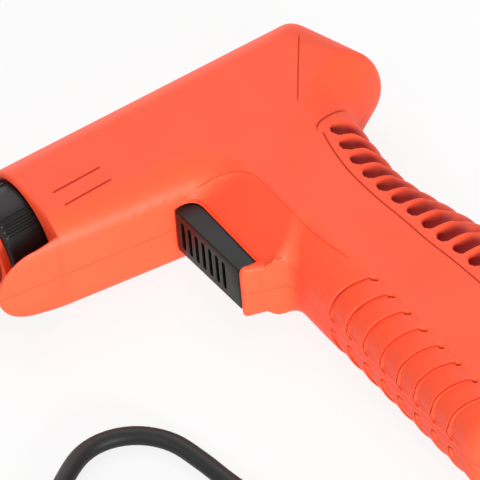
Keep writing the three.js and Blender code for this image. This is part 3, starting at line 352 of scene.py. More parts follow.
def lathe(sections):
    """A closed ring-shaped skin through cross-sections that go once round, in mm."""
    bm = bmesh.new()
    loops = [[bm.verts.new(Vector(p) * MM) for p in section] for section in sections]
    for i, loop in enumerate(loops):
        before = loops[i - 1]
        for k in range(len(loop)):
            bm.faces.new((before[k - 1], before[k], loop[k], loop[k - 1]))
    bmesh.ops.recalc_face_normals(bm, faces=bm.faces[:])
    return bm


def softened(name, node, body, material, width, angle=30):
    """A copy of a CAD piece with its edges rounded."""
    bm = bmesh.new()
    bm.from_mesh(nodes[node].data)
    bmesh.ops.remove_doubles(bm, verts=bm.verts[:], dist=1e-6)
    bmesh.ops.dissolve_limit(bm, angle_limit=math.radians(1), verts=bm.verts[:], edges=bm.edges[:])
    made = piece(name, bm, body, material)
    bevel = made.modifiers.new("edges", "BEVEL")
    bevel.width, bevel.segments, bevel.limit_method = width * MM, 3, "ANGLE"
    bevel.angle_limit = math.radians(angle)
    graph = bpy.context.evaluated_depsgraph_get()
    made.data = bpy.data.meshes.new_from_object(made.evaluated_get(graph))
    made.modifiers.clear()
    smooth(made, 40)
    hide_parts(node)
    return made


# ---------------------------------------------------------------- the shells' outer form

# How far each side is rounded over, how far from the middle plane that starts, mm, and the share of
# it that is flat.
ROUND_TOP, ROUND_BELLY = (12, 0, 0), (10, 9.5, 0)
ROUND_THROAT, ROUND_SLANT = (13, 8.6, 0.85), (10, 10.3, 0.4)
ROUND_FRONT, ROUND_FOOT, ROUND_GRIP = (12.5, 4.5, 0), (5, 12, 0), (15.5, 2, 0)
ROUND_HUMP, ROUND_REAR, ROUND_NOSE = (16, 0, 0), (16, 0, 0), (0.9, 15, 0)
BARREL_FRONT, BELLY_FRONT_Y = -45.6, -21.1
# The side view's corners, anticlockwise: place, fillet, steps along the fillet, and the rounding of the
# side that starts there.
SIDE_VIEW = [
    ((BARREL_FRONT, BELLY_FRONT_Y), 1.5, 8, ROUND_BELLY),
    ((-6.4, -26.6), 4.5, 12, ROUND_THROAT),
    ((-6.4, -58.7), 1.5, 8, ROUND_SLANT),
    ((0.3, -61.3), 5, 12, ROUND_FRONT),
    ((1.7, -148), 8, 16, ROUND_FOOT),
    ((51.5, -148), 10, 16, ROUND_GRIP),
    ((53.5, -95), 40, 24, ROUND_GRIP),
    ((42.5, -54.5), 45, 28, ROUND_GRIP),
    ((45, -26.4), 6, 20, ROUND_HUMP),
    ((62.5, -15.4), 6, 24, ROUND_REAR),
    ((52.4, 11.5), 9, 16, ROUND_TOP),
    ((BARREL_FRONT, 14.7), 3, 10, ROUND_NOSE),
]
FRONT_SIDE, GRIP_START, GRIP_END, GRIP_SIDES = 3, 5, 9, (5, 6, 7)
PLAIN_SPACING = 2.5               # between the points of a side with nothing on it
FRONT_ENDS, GRIP_ENDS = (8, 6), (10, 24)         # points before and after the scales and the pockets
HALF_TURNS = 52                   # levels from the middle plane to the side
SIDE_STEPS = [0.5 * i for i in range(1, 10)]     # how far in the rings on the flat side lie, at the grip


def eased(value):
    """0 to 1 with soft ends."""
    value = min(1.0, max(0.0, value))
    return value * value * (3 - 2 * value)


def rises(value, start, end):
    """0 up to the start, 1 from the end on, and a soft rise between them."""
    return eased((value - start) / (end - start))


def rounded_over(rounding, height):
    """How far a side has moved in at a height from the middle plane."""
    reach, start, flat = rounding
    share = max(0.0, (height - start) / (HALF - start))
    return reach * (flat * share + (1 - flat) * (1 - math.sqrt(max(0.0, 1 - share * share))))


def between(start, end, count):
    """Evenly spaced points after start and before end."""
    return [start.lerp(end, i / count) for i in range(1, count)]


def outline(insets):
    """The side view moved in side by side: each corner's curve, as a list of points."""
    places = [Vector(corner[0]) for corner in SIDE_VIEW]
    count = len(places)
    alongs = [(places[(i + 1) % count] - places[i]).normalized() for i in range(count)]
    starts = [places[i] + Vector((-alongs[i].y, alongs[i].x)) * insets[i] for i in range(count)]

    def met(i):
        a, b = alongs[i - 1], alongs[i]
        gap = starts[i] - starts[i - 1]
        return starts[i - 1] + a * ((gap.x * b.y - gap.y * b.x) / (a.x * b.y - a.y * b.x))

    moved = [met(i) for i in range(count)]
    curves = []
    for i, (_, fillet, steps, _) in enumerate(SIDE_VIEW):
        a, b = alongs[i - 1], alongs[i]
        turn = math.atan2(a.x * b.y - a.y * b.x, a.dot(b))
        inset = (insets[i - 1] + insets[i]) / 2
        room = 0.48 * min((moved[i] - moved[i - 1]).length, (moved[i] - moved[(i + 1) % count]).length)
        wanted = max(0.5 * fillet, fillet - math.copysign(inset, turn))
        back = min(room, wanted * math.tan(abs(turn) / 2))
        first, last = moved[i] - a * back, moved[i] + b * back
        curves.append([
            first * (1 - t) ** 2 + moved[i] * (2 * t * (1 - t)) + last * t * t
            for t in (k / steps for k in range(steps + 1))
        ])
    return curves


# ---------------------------------------------------------------- the grip's ribs and the handle's scales

POCKET_PITCH = 6.22
POCKET_FIRST = -35.2              # height of the first pocket's middle, mm
POCKET_COUNT = 15
POCKET_WIDTH = 4.8                # at its round end
POCKET_DEPTH = 3.3
POCKET_INSET = 2.4                # from the panel's edge to a pocket's round end
RIB_LAND = 0.45                   # flat on a rib's crisp edge
NOTCH_DEPTH = 1.2                 # between the round ribs at the back
POCKET_COLUMNS = 20               # points along the outline for each pitch
SCALE_PITCH = 7.65
SCALE_FIRST = -79.0               # where the first scale's step leaves the handle's front
SCALE_COUNT = 8
SCALE_DEPTH = 0.75
SCALE_LENGTH = 6.6
SCALE_SLANT = 0.58                # how far it drops for each mm to the rear
SCALE_COLUMNS = 22
SCALE_LEAD, SCALE_TAIL = 4, 12    # columns ahead of the first step and after the last one
POCKET_AREA, SCALE_AREA = (24, -28), (16, -70)   # behind this x or in front of it, and below this y
# How far behind the pockets' round ends they widen, turn into round ribs, and lose their painted shade.
RIB_WIDENS, RIB_ROUNDS, SHADE_FADES = (0.5, 5.5), (6, 11), (7, 11)
# Where the grip's panel starts, along the handle: (y, x).
PANEL_EDGE = [
    (-140, 34.6), (-105.3, 32.3), (-93.1, 31.2), (-83.8, 29.8), (-74.2, 29.2), (-64, 28), (-54.6, 27.5),
    (-49.6, 27.6), (-45.2, 28), (-41.2, 28.6), (-37.2, 29.4), (-34.1, 30.2), (-30, 31.5),
]


def panel_edge(y):
    """The panel's front edge at a place along the handle, straight between its points."""
    for (y0, x0), (y1, x1) in zip(PANEL_EDGE, PANEL_EDGE[1:]):
        if y <= y1:
            return x0 + (x1 - x0) * (y - y0) / (y1 - y0)
    return PANEL_EDGE[-1][1]


def grip_columns():
    step = POCKET_PITCH / POCKET_COLUMNS
    top = POCKET_FIRST + POCKET_PITCH / 2
    return [top - step * i for i in range(POCKET_COLUMNS * POCKET_COUNT + 1)]


def scale_columns():
    step = SCALE_PITCH / SCALE_COLUMNS
    top = SCALE_FIRST + SCALE_LEAD * step
    return [top - step * i for i in range(SCALE_COLUMNS * (SCALE_COUNT - 1) + SCALE_TAIL)]


def where_crosses(line, measure, wanted):
    """The points of a line of points at which a steadily changing measure has the wanted values."""
    values = [measure(p) for p in line]
    found, i = [], 0
    rising = values[-1] > values[0]
    for value in wanted:
        while i + 2 < len(line) and (values[i + 1] < value if rising else values[i + 1] > value):
            i += 1
        span = values[i + 1] - values[i]
        share = min(1.0, max(0.0, (value - values[i]) / span if span else 0.0))
        found.append(line[i].lerp(line[i + 1], share))
    return found


def split_run(line, measure, columns, before, after):
    """A stretch of outline with points at the columns, and evenly spaced ones before and after them."""
    marks = where_crosses(line, measure, columns)
    ends = [measure(line[0]), columns[0], columns[-1], measure(line[-1])]
    lead = [ends[0] + (ends[1] - ends[0]) * i / before for i in range(1, before)]
    tail = [ends[2] + (ends[3] - ends[2]) * i / after for i in range(1, after)]
    return where_crosses(line, measure, lead) + marks + where_crosses(line, measure, tail)


def ring(insets, fine):
    """One loop round the side view, with the same number of points whatever its insets."""
    curves = outline(insets)
    points = []
    count = len(curves)
    side = 0
    while side < count:
        points += curves[side]
        start, end = curves[side][-1], curves[(side + 1) % count][0]
        if fine and side == FRONT_SIDE:
            points += split_run([start, end], lambda p: p.y + SCALE_SLANT * p.x, scale_columns(), *FRONT_ENDS)
        elif fine and side == GRIP_START:
            line = [start] + sum(curves[GRIP_START + 1:GRIP_END], []) + [curves[GRIP_END][0]]
            points += split_run(line, lambda p: p.y, grip_columns()[::-1], *GRIP_ENDS)
            side = GRIP_END - 1
        else:
            length = (Vector(SIDE_VIEW[side][0]) - Vector(SIDE_VIEW[(side + 1) % count][0])).length
            points += between(start, end, max(1, round(length / PLAIN_SPACING)))
        side += 1
    return points


def half_form(wall=0.0, grip_wall=0.0, turns=HALF_TURNS, flats=(), fine=True, start=0.0):
    """The left half of the gun's form as one closed skin, moved in by a wall."""
    rings = [(HALF * math.sin(math.pi / 2 * i / turns), 0.0) for i in range(turns + 1)]
    rings += [(HALF, extra) for extra in flats]
    loops = []
    for height, extra in rings:
        insets = [
            rounded_over(corner[3], height) + (grip_wall + extra if i in GRIP_SIDES else wall)
            for i, corner in enumerate(SIDE_VIEW)
        ]
        level = MID + start + (height / HALF) * (HALF - wall - start)
        loops.append([(p.x, p.y, level) for p in ring(insets, fine)])
    return stacked(loops)


def rib_level(x, y):
    """The grip's surface against its plain form, and how much painted shade it takes there, 0 to 1, darker
    deeper in a pocket: each rib is round at the back, and at the side it falls from a crisp edge into the
    pocket below it."""
    index = round((POCKET_FIRST - y) / POCKET_PITCH)
    middle = POCKET_FIRST - index * POCKET_PITCH
    radius = POCKET_WIDTH / 2
    if y < middle - radius:
        index, middle = index + 1, middle - POCKET_PITCH
    reach = x - panel_edge(middle) - POCKET_INSET
    if not 0 <= index < POCKET_COUNT or reach <= 0:
        return 0.0, 0.0
    wide = rises(reach, *RIB_WIDENS)
    back = rises(reach, *RIB_ROUNDS)
    low = middle - radius
    high = low + POCKET_WIDTH + (POCKET_PITCH - POCKET_WIDTH - RIB_LAND) * wide
    along = (y - low) / POCKET_PITCH
    if index == 0:
        along = min(along, 0.5)   # there is no notch above the first pocket
    level = -NOTCH_DEPTH * back * (1 - math.sqrt(max(0.0, 1 - (2 * along - 1) ** 2)))
    if y >= high:
        return level, 0.0
    from_end = reach - radius + math.sqrt(max(0.0, radius ** 2 - (y - middle) ** 2))
    if from_end <= 0:
        return level, 0.0
    down = (high - y) / (high - low)
    crisp = eased((y - low) / 0.35) * eased(from_end / 0.6)
    fall = (1 - (1 - down) ** (3.5 - 1.7 * wide)) * (1 - back) * crisp
    # Painted shade, darker down the pocket and fading towards the back.
    shade = eased(down / (0.15 + 0.4 * wide)) * (1 - 0.85 * rises(reach, *SHADE_FADES)) * crisp
    return level - POCKET_DEPTH * fall, shade


def scale_depth(x, y, height):
    """Depth of the scales on the handle's front: each drops at a slanted step and rises again."""
    along = (SCALE_FIRST - y - SCALE_SLANT * x) / SCALE_PITCH
    index = math.floor(along + 0.02)
    if not 0 <= index < SCALE_COUNT:
        return 0.0
    below = (along - index) * SCALE_PITCH
    rise = max(0.0, 1 - max(0.0, below) / SCALE_LENGTH)
    drop = eased((below + 0.15) / 0.35)
    ends = rises(height, 2.2, 3.4) * (1 - rises(x, 11, 12.6))
    return SCALE_DEPTH * rise * drop * ends


def carve(bm):
    """Sinks the pockets, the notches between the ribs and the scales into the left half's skin. Gives the
    places in the pockets and how much painted shade each takes, 0 to 1."""
    bm.normal_update()
    moves = []
    for vert in bm.verts:
        x, y, height = vert.co.x / MM, vert.co.y / MM, vert.co.z / MM - MID
        level = shade = 0.0
        if x > POCKET_AREA[0] and y < POCKET_AREA[1]:
            level, shade = rib_level(x, y)
        elif x < SCALE_AREA[0] and y < SCALE_AREA[1]:
            level = -scale_depth(x, y, height)
        if level:
            normal = vert.normal.copy()
            if height < 0.2:
                normal.z = 0
                normal.normalize()
            moves.append((vert, normal * level * MM, shade))
    for vert, move, _ in moves:
        vert.co += move
    return [(vert.co.copy(), shade) for vert, _, shade in moves if shade]


# ---------------------------------------------------------------- the shells

SHELL_WALL, GRIP_WALL, HOLLOW_TURNS = 2.6, 4.8, 10
SEAM = 0.12                       # between the shells, mm
JAW_TOP, JAW_ROOT_X, JAW_TIP_X = -17.7, -38, -64.8
JAW_HALF_WIDTH, JAW_ROUND, JAW_EDGE = 12.1, 13.2, 1.6      # its round end's length and its side edges
JAW_STEPS, JAW_POINTS = 29, 32                             # along it and across it
JAW_SLOPE, JAW_FLARE = 0.14, 0.19                          # of its underside and its sides
LIP_TOP, LIP_FRONT, LIP_HALF_WIDTH = -55.3, -12.0, 9.6
LIP_CORNER, LIP_EDGE, LIP_TOP_INSET = 1.6, 1.4, 0.7
LIP_STATIONS = (0, 0.15, 0.45, 0.9, 1.6, 3, 4.5, 5.6, 7, 9, 11, 12.6)      # behind its front
LIP_TAPER, LIP_TAPER_END = 0.09, 5.6
LIP_SINK, LIP_SINK_START = 0.3, 6.8
# The lip's underside, as (x, y), from its front edge into the handle.
LIP_UNDERSIDE = [(-12.1, -56.32), (-7.2, -58.32), (-2.5, -60.32), (0.9, -62.02), (5, -65.22)]
TUBE_RADIUS, TUBE_BORE, TUBE_FRONT = 12.3, 10.2, -58.6
COLLAR_RADIUS, COLLAR_SEAT = 15.9, -44.2   # the shallow seat that the nose ring turns in
INLET_RADIUS, INLET_X = 8.1, (43, 80)
RELIEF_HOLE, RELIEF_Y = 4.9, (-150, -144)
TRIGGER_SLOT_X, TRIGGER_GAP = (-20, 12), 0.4
CORD_X = 26
SCREW_PLACES = [(-12.5, -20.4), (49, -13.5), (8.5, -67), (40, -88), (9, -137), (42, -137)]
SCREW_HEAD_HOLE, SCREW_SEAT = 3.2, 7.5
SCREW_HOLE, SCREW_HOLE_RISE = 1.6, 9.3           # the last: above the middle plane
BOSS_RADIUS, BOSS_WALL, BOSS_FLOOR = 3.1, 1.5, 1.8
# The line where the barrel's side slopes away to the rear, and how steeply.
CREASE_TOP, CREASE_FOOT, CREASE_SLOPE = (47.5, 1.8), (29.7, -22.9), 0.12
# The edge of the hollow round the trigger, from the belly to the handle, as (x, y).
RECESS_EDGE = [
    (-24, -22.6), (-16, -24.6), (-11.8, -25.4), (-7.5, -25.9), (-0.2, -27.8), (3.5, -30.3), (5.8, -33.5),
    (6.9, -37), (7.3, -41), (7.3, -51.6), (7.5, -57.7), (8.1, -65), (9.9, -76.9),
]
RECESS_LINE = RECESS_EDGE[3:]     # the part of it that is a fine line
RECESS_DEPTH, RECESS_STEP = 0.8, 1.1
# Grooves in the side, as (x, y): over the top of the grip's panel, and down the crease.
PANEL_TOP = [
    (29, -34.2), (29.6, -32.2), (31.2, -30.9), (34.2, -29.9), (36.8, -29.1), (41, -27.4), (44, -25.8),
]
CREASE_LINE = [(46.6, 0.3), (44.5, -2.3), (39.7, -9), (32.5, -19.2), (30.5, -22)]
NOSE_GROOVE_ENDS, NOSE_GROOVES = (-39.6, -24), (-8.4, -13.9)      # from x to x, at these y
# The grooved edge of a scale: x, y from the scale's start, and height from the middle plane.
SCALE_LINE = [
    (0.2, -2.4, 1.9), (0.2, 0.2, 2.1), (0.4, 0, 4), (0.8, -0.5, 6.2), (2, -1.5, 10.2), (3.7, -2.6, 12.6),
    (5.7, -3.7, 14.8), (9.3, -5.6, 16.6), (10.6, -6.8, 17), (11.4, -8.4, 17.2),
]
# Of each groove: its width, its depth, and the length over which its ends fade where it isn't short.
PANEL_GROOVE, FINE_GROOVE, TOP_GROOVE = (0.6, 0.4), (0.5, 0.3, 3), (0.8, 0.35, 3)
NOSE_GROOVE, SCALE_GROOVE = (0.9, 0.4), (0.6, 0.45)
GROOVE_STEP, GROOVE_SIDES = 0.6, 24
# Where the hollows' cutters reach in x and in y, and their points' spacing.
CREASE_AREA, RECESS_AREA = ((18, 68), (-33, 20), 1.5), ((-26, 12), (-78, -20), 0.6)
# How far from a groove's line or a pocket's points a point takes their painted shade, how far below the plain
# skin it is then, mm, and how strong the painted shade is for each mm of a groove and in the whole recess.
GROOVE_SHADE_REACH, POCKET_SHADE_REACH = 0.9 * MM, 0.6 * MM
SHADE_LEAST, SHADE_MOST = 0.1, 1.2
GROOVE_SHADE, RECESS_SHADE = 1.1, 0.06
GROOVE_PLACES = []                # along the left side's grooves that take painted shade


def mirrored(bm):
    """The same form on the other side of the seam."""
    for vert in bm.verts:
        vert.co.z = 2 * MID * MM - vert.co.z
    bmesh.ops.reverse_faces(bm, faces=bm.faces[:])
    return bm


def jaw_sections():
    """Cross-sections of the tongue that runs on from the belly under the ring, from the barrel to its tip."""
    sections = []
    for i in range(JAW_STEPS + 1):
        x = JAW_ROOT_X + (JAW_TIP_X + 0.02 - JAW_ROOT_X) * math.sin(math.pi / 2 * i / JAW_STEPS)
        from_tip = max(0.01, x - JAW_TIP_X)
        nose = min(1.0, from_tip / JAW_ROUND)
        flare = JAW_FLARE * min(8.0, max(0.0, from_tip - 12.5))      # behind its round end
        half = JAW_HALF_WIDTH * math.sqrt(1 - (1 - nose) ** 2) + flare
        behind = x - BARREL_FRONT
        # Inside the barrel it draws back from the belly's skin.
        bottom = BELLY_FRONT_Y - JAW_SLOPE * behind + 0.02 + 0.25 * max(0.0, behind - 1.7)
        thick = JAW_TOP - bottom
        edge = min(JAW_EDGE, thick * 0.5)
        root = rises(x, -58, -46)
        points = []
        for k in range(JAW_POINTS + 1):
            across = -math.cos(math.pi * k / JAW_POINTS)
            round_under = edge + (thick - edge) * (1 - abs(across) ** 3.2) ** (1 / 1.6)
            as_belly = thick - rounded_over(ROUND_BELLY, half * abs(across))
            drop = round_under + (as_belly - round_under) * root
            points.append((x, JAW_TOP - drop, MID + half * across))
        shoulder = max(JAW_TOP - 1.4 * rises(x, -66, -48), JAW_TOP - drop + 0.3)
        points += [(x, shoulder, MID + half), (x, JAW_TOP, MID + 0.8 * half), (x, JAW_TOP, MID - 0.8 * half),
                   (x, shoulder, MID - half)]
        sections.append(points)
    return sections


def under_lip(x):
    """The height of the lip's underside at a place along it."""
    for (x0, y0), (x1, y1) in zip(LIP_UNDERSIDE, LIP_UNDERSIDE[1:]):
        if x <= x1:
            return y0 + (y1 - y0) * (x - x0) / (x1 - x0)
    return LIP_UNDERSIDE[-1][1]


def lip_sections():
    """Cross-sections of the shelf below the trigger, from its front to inside the handle."""
    sections = []
    for back in LIP_STATIONS:
        x = LIP_FRONT + back
        corner = LIP_CORNER - math.sqrt(max(0.0, LIP_CORNER ** 2 - max(0.0, LIP_CORNER - back) ** 2))
        sunk = LIP_SINK * max(0.0, back - LIP_SINK_START)
        half = LIP_HALF_WIDTH - corner - LIP_TAPER * min(back, LIP_TAPER_END) - sunk
        bottom = under_lip(x) + sunk
        points = [(x, LIP_TOP, MID + side * (half - LIP_TOP_INSET)) for side in (-1, 0, 1)]
        edge = min(LIP_EDGE, (LIP_TOP - bottom) * 0.8)
        for side in (1, -1):
            arc = [(half - edge * (1 - math.cos(a)), bottom + edge * (1 - math.sin(a)))
                   for a in (math.pi / 2 * k / 6 for k in range(7))]
            if side < 0:
                arc.reverse()
            points += [(x, y, MID + side * z) for z, y in arc]
        sections.append(points)
    return sections


def one_side(bm, side):
    """Only what lies on one side of the seam: 1 for the left, -1 for the right."""
    level = Vector((0, 0, (MID + side * SEAM / 2) * MM))
    bmesh.ops.bisect_plane(bm, geom=bm.verts[:] + bm.edges[:] + bm.faces[:], plane_co=level,
                           plane_no=(0, 0, side), clear_inner=True)
    rim = [edge for edge in bm.edges if edge.is_boundary]
    bmesh.ops.contextual_create(bm, geom=rim)
    bmesh.ops.recalc_face_normals(bm, faces=bm.faces[:])
    return bm


def skin_at(tree, x, y):
    """The point of the left side's skin above (x, y) and its normal, in mm."""
    place, normal, _, _ = tree.ray_cast(Vector((x, y, 60)) * MM, Vector((0, 0, -1)))
    return (place / MM, normal) if place else (None, None)


def resampled(path, step):
    """The same line of points, evenly spaced."""
    points = [Vector(p) for p in path]
    lengths = [(b - a).length for a, b in zip(points, points[1:])]
    total = sum(lengths)
    count = max(2, round(total / step))
    out, i, passed = [], 0, 0.0
    for k in range(count + 1):
        want = total * k / count
        while i < len(lengths) - 1 and passed + lengths[i] < want:
            passed += lengths[i]
            i += 1
        out.append(points[i].lerp(points[i + 1], (want - passed) / lengths[i]))
    return out


def rounded_path(path, times=2):
    """The line of points with its corners cut round."""
    points = [Vector(p) for p in path]
    for _ in range(times):
        inner = []
        for a, b in zip(points, points[1:]):
            inner += [a.lerp(b, 0.25), a.lerp(b, 0.75)]
        points = [points[0]] + inner + [points[-1]]
    return points


def groove(tree, path, width, depth, fade=0.6):
    """A cutter for a round-bottomed groove along a line on the left side, shallower at its ends. The
    line's points are over the side, or near the skin where they have a height too."""
    path = resampled(path, GROOVE_STEP)
    radius = (width * width / 4 + depth * depth) / (2 * depth)
    rings = []
    for i, point in enumerate(path):
        if len(point) == 2:
            place, normal = skin_at(tree, *point)
        else:
            place, normal, _, _ = tree.find_nearest(point * MM)
            place = place / MM
        if place is None:
            continue
        along = path[min(i + 1, len(path) - 1)] - path[max(i - 1, 0)]
        side = along.to_3d().cross(normal).normalized()
        end = min(i, len(path) - 1 - i) * GROOVE_STEP / fade
        sink = depth * min(1.0, end) - (0.02 if end < 0.05 else 0)
        middle = place + normal * (radius - sink)
        rings.append([middle + (normal * math.cos(a) + side * math.sin(a)) * radius
                      for a in (2 * math.pi * k / GROOVE_SIDES for k in range(GROOVE_SIDES))])
        GROOVE_PLACES.append(place * MM)
    return scratch(stacked(rings))


def spaced(low, high, step):
    """Places from low to high, about a step apart."""
    count = round((high - low) / step)
    return [low + (high - low) * i / count for i in range(count + 1)]


def relief(tree, x, y, step, depth):
    """A cutter whose underside follows the left side's skin, or its flat, lower by depth(x, y)."""
    columns, rows = spaced(*x, step), spaced(*y, step)
    bm = bmesh.new()
    top = THICK + 3
    low = {}
    for i, cx in enumerate(columns):
        for j, cy in enumerate(rows):
            place = skin_at(tree, cx, cy)[0] if tree else Vector((cx, cy, THICK))
            level = top - 1 if place is None else min(top - 1, place.z - depth(cx, cy))
            low[i, j] = bm.verts.new(Vector((cx, cy, level)) * MM)
    for i in range(len(columns) - 1):
        for j in range(len(rows) - 1):
            bm.faces.new((low[i, j], low[i, j + 1], low[i + 1, j + 1], low[i + 1, j]))
    rim = [edge for edge in bm.edges if edge.is_boundary]
    made = bmesh.ops.extrude_edge_only(bm, edges=rim)["geom"]
    for part in made:
        if isinstance(part, bmesh.types.BMVert):
            part.co.z = top * MM
    top_rim = [part for part in made if isinstance(part, bmesh.types.BMEdge) and part.is_boundary]
    bmesh.ops.contextual_create(bm, geom=top_rim)
    bmesh.ops.recalc_face_normals(bm, faces=bm.faces[:])
    return scratch(bm)


def crease_depth(x, y):
    """Behind the crease the side slopes away; towards the grip the slope fades out."""
    along = (Vector(CREASE_FOOT) - Vector(CREASE_TOP)).normalized()
    across = Vector((-along.y, along.x))
    away = (Vector((x, y)) - Vector(CREASE_TOP)).dot(across)
    fade = rises(y, -33, -16)
    return CREASE_SLOPE * away * fade - 0.001 - 0.3 * (1 - fade)


def recess_depth(x, y):
    """Inside the recess's edge: distance from it, made a soft step."""
    here, best, inside = Vector((x, y)), 1e9, False
    for a, b in zip(RECESS_EDGE, RECESS_EDGE[1:]):
        a, b = Vector(a), Vector(b)
        along = b - a
        share = min(1.0, max(0.0, (here - a).dot(along) / along.length_squared))
        away = here - (a + along * share)
        if away.length < best - 1e-9:
            best = away.length
            inside = along.x * away.y - along.y * away.x < 0
    distance = best if inside else -best
    ends = rises(y, -76, -50) * rises(x, -24, -12)
    if distance <= 0:
        return distance * 0.4 - 0.01
    return RECESS_DEPTH * eased(distance / RECESS_STEP) * ends - 0.02


def paint_shade(target, tree, marks, side):
    """Marks how much painted shade the mesh's points take, 0 to 1: down the pockets, in the grooves and in
    the recess, for the plastic's colour.
    """
    pockets = kdtree.KDTree(len(marks))
    for i, (place, _) in enumerate(marks):
        pockets.insert(place, i)
    lines = kdtree.KDTree(len(GROOVE_PLACES))
    for i, place in enumerate(GROOVE_PLACES):
        lines.insert(place, i)
    pockets.balance()
    lines.balance()
    # The 'pocket' attribute carries the painted shade.
    layer = target.data.attributes.new("pocket", "FLOAT", "POINT")
    values = [0.0] * len(target.data.vertices)
    for i, vert in enumerate(target.data.vertices):
        place = vert.co.copy()
        if side < 0:
            place.z = 2 * MID * MM - place.z
        if place.x > POCKET_AREA[0] * MM and place.y < POCKET_AREA[1] * MM:
            _, found, away = pockets.find(place)
            if away < POCKET_SHADE_REACH:
                values[i] = marks[found][1]
        sunk = tree.find_nearest(place)[3] / MM
        # Painted shade in the grooves, by how far below the skin a point lies, and a faint painted shade over
        # the recess.
        if SHADE_LEAST < sunk < SHADE_MOST:
            near = lines.find(place)[2] < GROOVE_SHADE_REACH
            shade_share = min(1.0, sunk * GROOVE_SHADE) if near else RECESS_SHADE * eased(sunk / RECESS_DEPTH)
            values[i] = max(values[i], shade_share)
    layer.data.foreach_set("value", values)


def hollow_form(side):
    """What is taken out of a half, round the screws' bosses."""
    hollow = scratch(half_form(SHELL_WALL, GRIP_WALL, HOLLOW_TURNS, fine=False, start=-1))
    bosses = [scratch(rod(BOSS_RADIUS, (*place, -1), (*place, THICK + 1), 24)) for place in SCREW_PLACES]
    if side < 0:
        head, low = SCREW_HEAD_HOLE + BOSS_WALL, THICK - SCREW_SEAT - BOSS_FLOOR
        bosses += [scratch(rod(head, (*place, low), (*place, THICK + 1), 32)) for place in SCREW_PLACES]
    return combined(hollow, "DIFFERENCE", bosses)


def surface_cuts(tree):
    """The hollows and grooves of the left side's skin, and the ring's seat."""
    recess_line = groove(tree, rounded_path(RECESS_LINE), *FINE_GROOVE)
    GROOVE_PLACES.clear()         # the recess's line takes no painted shade, and each shell fills the list anew
    panel = [(x, y) for y, x in PANEL_EDGE[:-1]]
    cuts = [
        recess_line,
        relief(None, *CREASE_AREA, crease_depth),
        relief(tree, *RECESS_AREA, recess_depth),
        groove(tree, rounded_path(panel), *PANEL_GROOVE),
        groove(tree, CREASE_LINE, *FINE_GROOVE),
        groove(tree, rounded_path(PANEL_TOP), *TOP_GROOVE),
    ]
    cuts += [groove(tree, [(x, y) for x in NOSE_GROOVE_ENDS], *NOSE_GROOVE) for y in NOSE_GROOVES]
    for i in range(SCALE_COUNT):
        start = SCALE_FIRST - SCALE_PITCH * i
        line = [(x, start + y, MID + height) for x, y, height in SCALE_LINE]
        cuts.append(groove(tree, rounded_path(line), *SCALE_GROOVE))
    cuts.append(scratch(rod(COLLAR_RADIUS, (BARREL_FRONT - 1, 0, MID), (COLLAR_SEAT, 0, MID), 96)))
    return cuts


def added_forms(side):
    """The jaw, the lip and the nose tube, on one side of the seam."""
    tube = rod(TUBE_RADIUS, (TUBE_FRONT, 0, MID), (BARREL_FRONT + 2, 0, MID), 96)
    forms = [stacked(jaw_sections()), stacked(lip_sections()), tube]
    return [scratch(one_side(form, side)) for form in forms]


def openings(side):
    """The trigger's slot, the bores and the screw holes."""
    low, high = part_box("trigger")
    half = (high.z - low.z) / 2 / MM + TRIGGER_GAP
    slot_top = high.y / MM + TRIGGER_GAP
    cuts = [
        scratch(block(TRIGGER_SLOT_X, (LIP_TOP, slot_top), (MID - half, MID + half))),
        scratch(rod(TUBE_BORE, (TUBE_FRONT - 1, 0, MID), (BARREL_FRONT + 4, 0, MID), 96)),
        scratch(rod(INLET_RADIUS, *((x, 0, MID) for x in INLET_X), 64)),
        scratch(rod(RELIEF_HOLE, *((CORD_X, y, MID) for y in RELIEF_Y), 48)),
    ]
    for place in SCREW_PLACES:
        if side < 0:
            cuts.append(scratch(rod(SCREW_HEAD_HOLE, (*place, -1), (*place, SCREW_SEAT), 32)))
        cuts.append(scratch(rod(SCREW_HOLE, (*place, SCREW_SEAT - 1), (*place, MID + SCREW_HOLE_RISE), 16)))
    return cuts


def make_shell(side):
    """A half shell: 1 for the left one, -1 for the right one, which is made as the left one's image."""
    outer = half_form(flats=SIDE_STEPS, start=SEAM / 2)
    marks = carve(outer)
    tree = BVHTree.FromBMesh(outer)
    shell = scratch(outer)
    hollow = hollow_form(side)
    combined(shell, "DIFFERENCE", surface_cuts(tree) + [hollow])
    if side < 0:
        bm = bmesh.new()
        bm.from_mesh(shell.data)
        mirrored(bm).to_mesh(shell.data)
        bm.free()
    combined(shell, "UNION", added_forms(side))
    combined(shell, "DIFFERENCE", openings(side))
    smooth(shell)
    # Painted shade for the pockets, grooves and recess, kept in the 'pocket' attribute.
    paint_shade(shell, tree, marks, side)
    shell.name = "left_shell" if side > 0 else "right_shell"
    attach(shell, "gun")
    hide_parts("left_housing" if side > 0 else "right_housing")


# ---------------------------------------------------------------- the nose ring

RING_RADIUS, RING_INSIDE = 14.6, 12.75
RING_GROUPS, RING_RIBS, RING_RIB_STEP, RING_RIB = 6, 4, 6.4, 0.5     # ribs in a group, degrees, height
RING_RIB_FORM = ((-1.9, 0), (-1.5, 0.55), (-0.9, 1), (0.9, 1), (1.5, 0.55), (1.9, 0))     # degrees, share
RING_PLAIN = (-17, -12, -6, 0, 6, 12, 17)                            # degrees, between two groups


def ring_angles():
    """Places round the ring, in degrees, each with how far the surface rises there."""
    angles = []
    pitch = 360 // RING_GROUPS
    for group in range(RING_GROUPS):
        for index in range(RING_RIBS):
            middle = pitch * group + (index - (RING_RIBS - 1) / 2) * RING_RIB_STEP + 90
            angles += [(middle + off, RING_RIB * share) for off, share in RING_RIB_FORM]
        angles += [(pitch * group + 120 + off, 0) for off in RING_PLAIN]
    return sorted(angles)


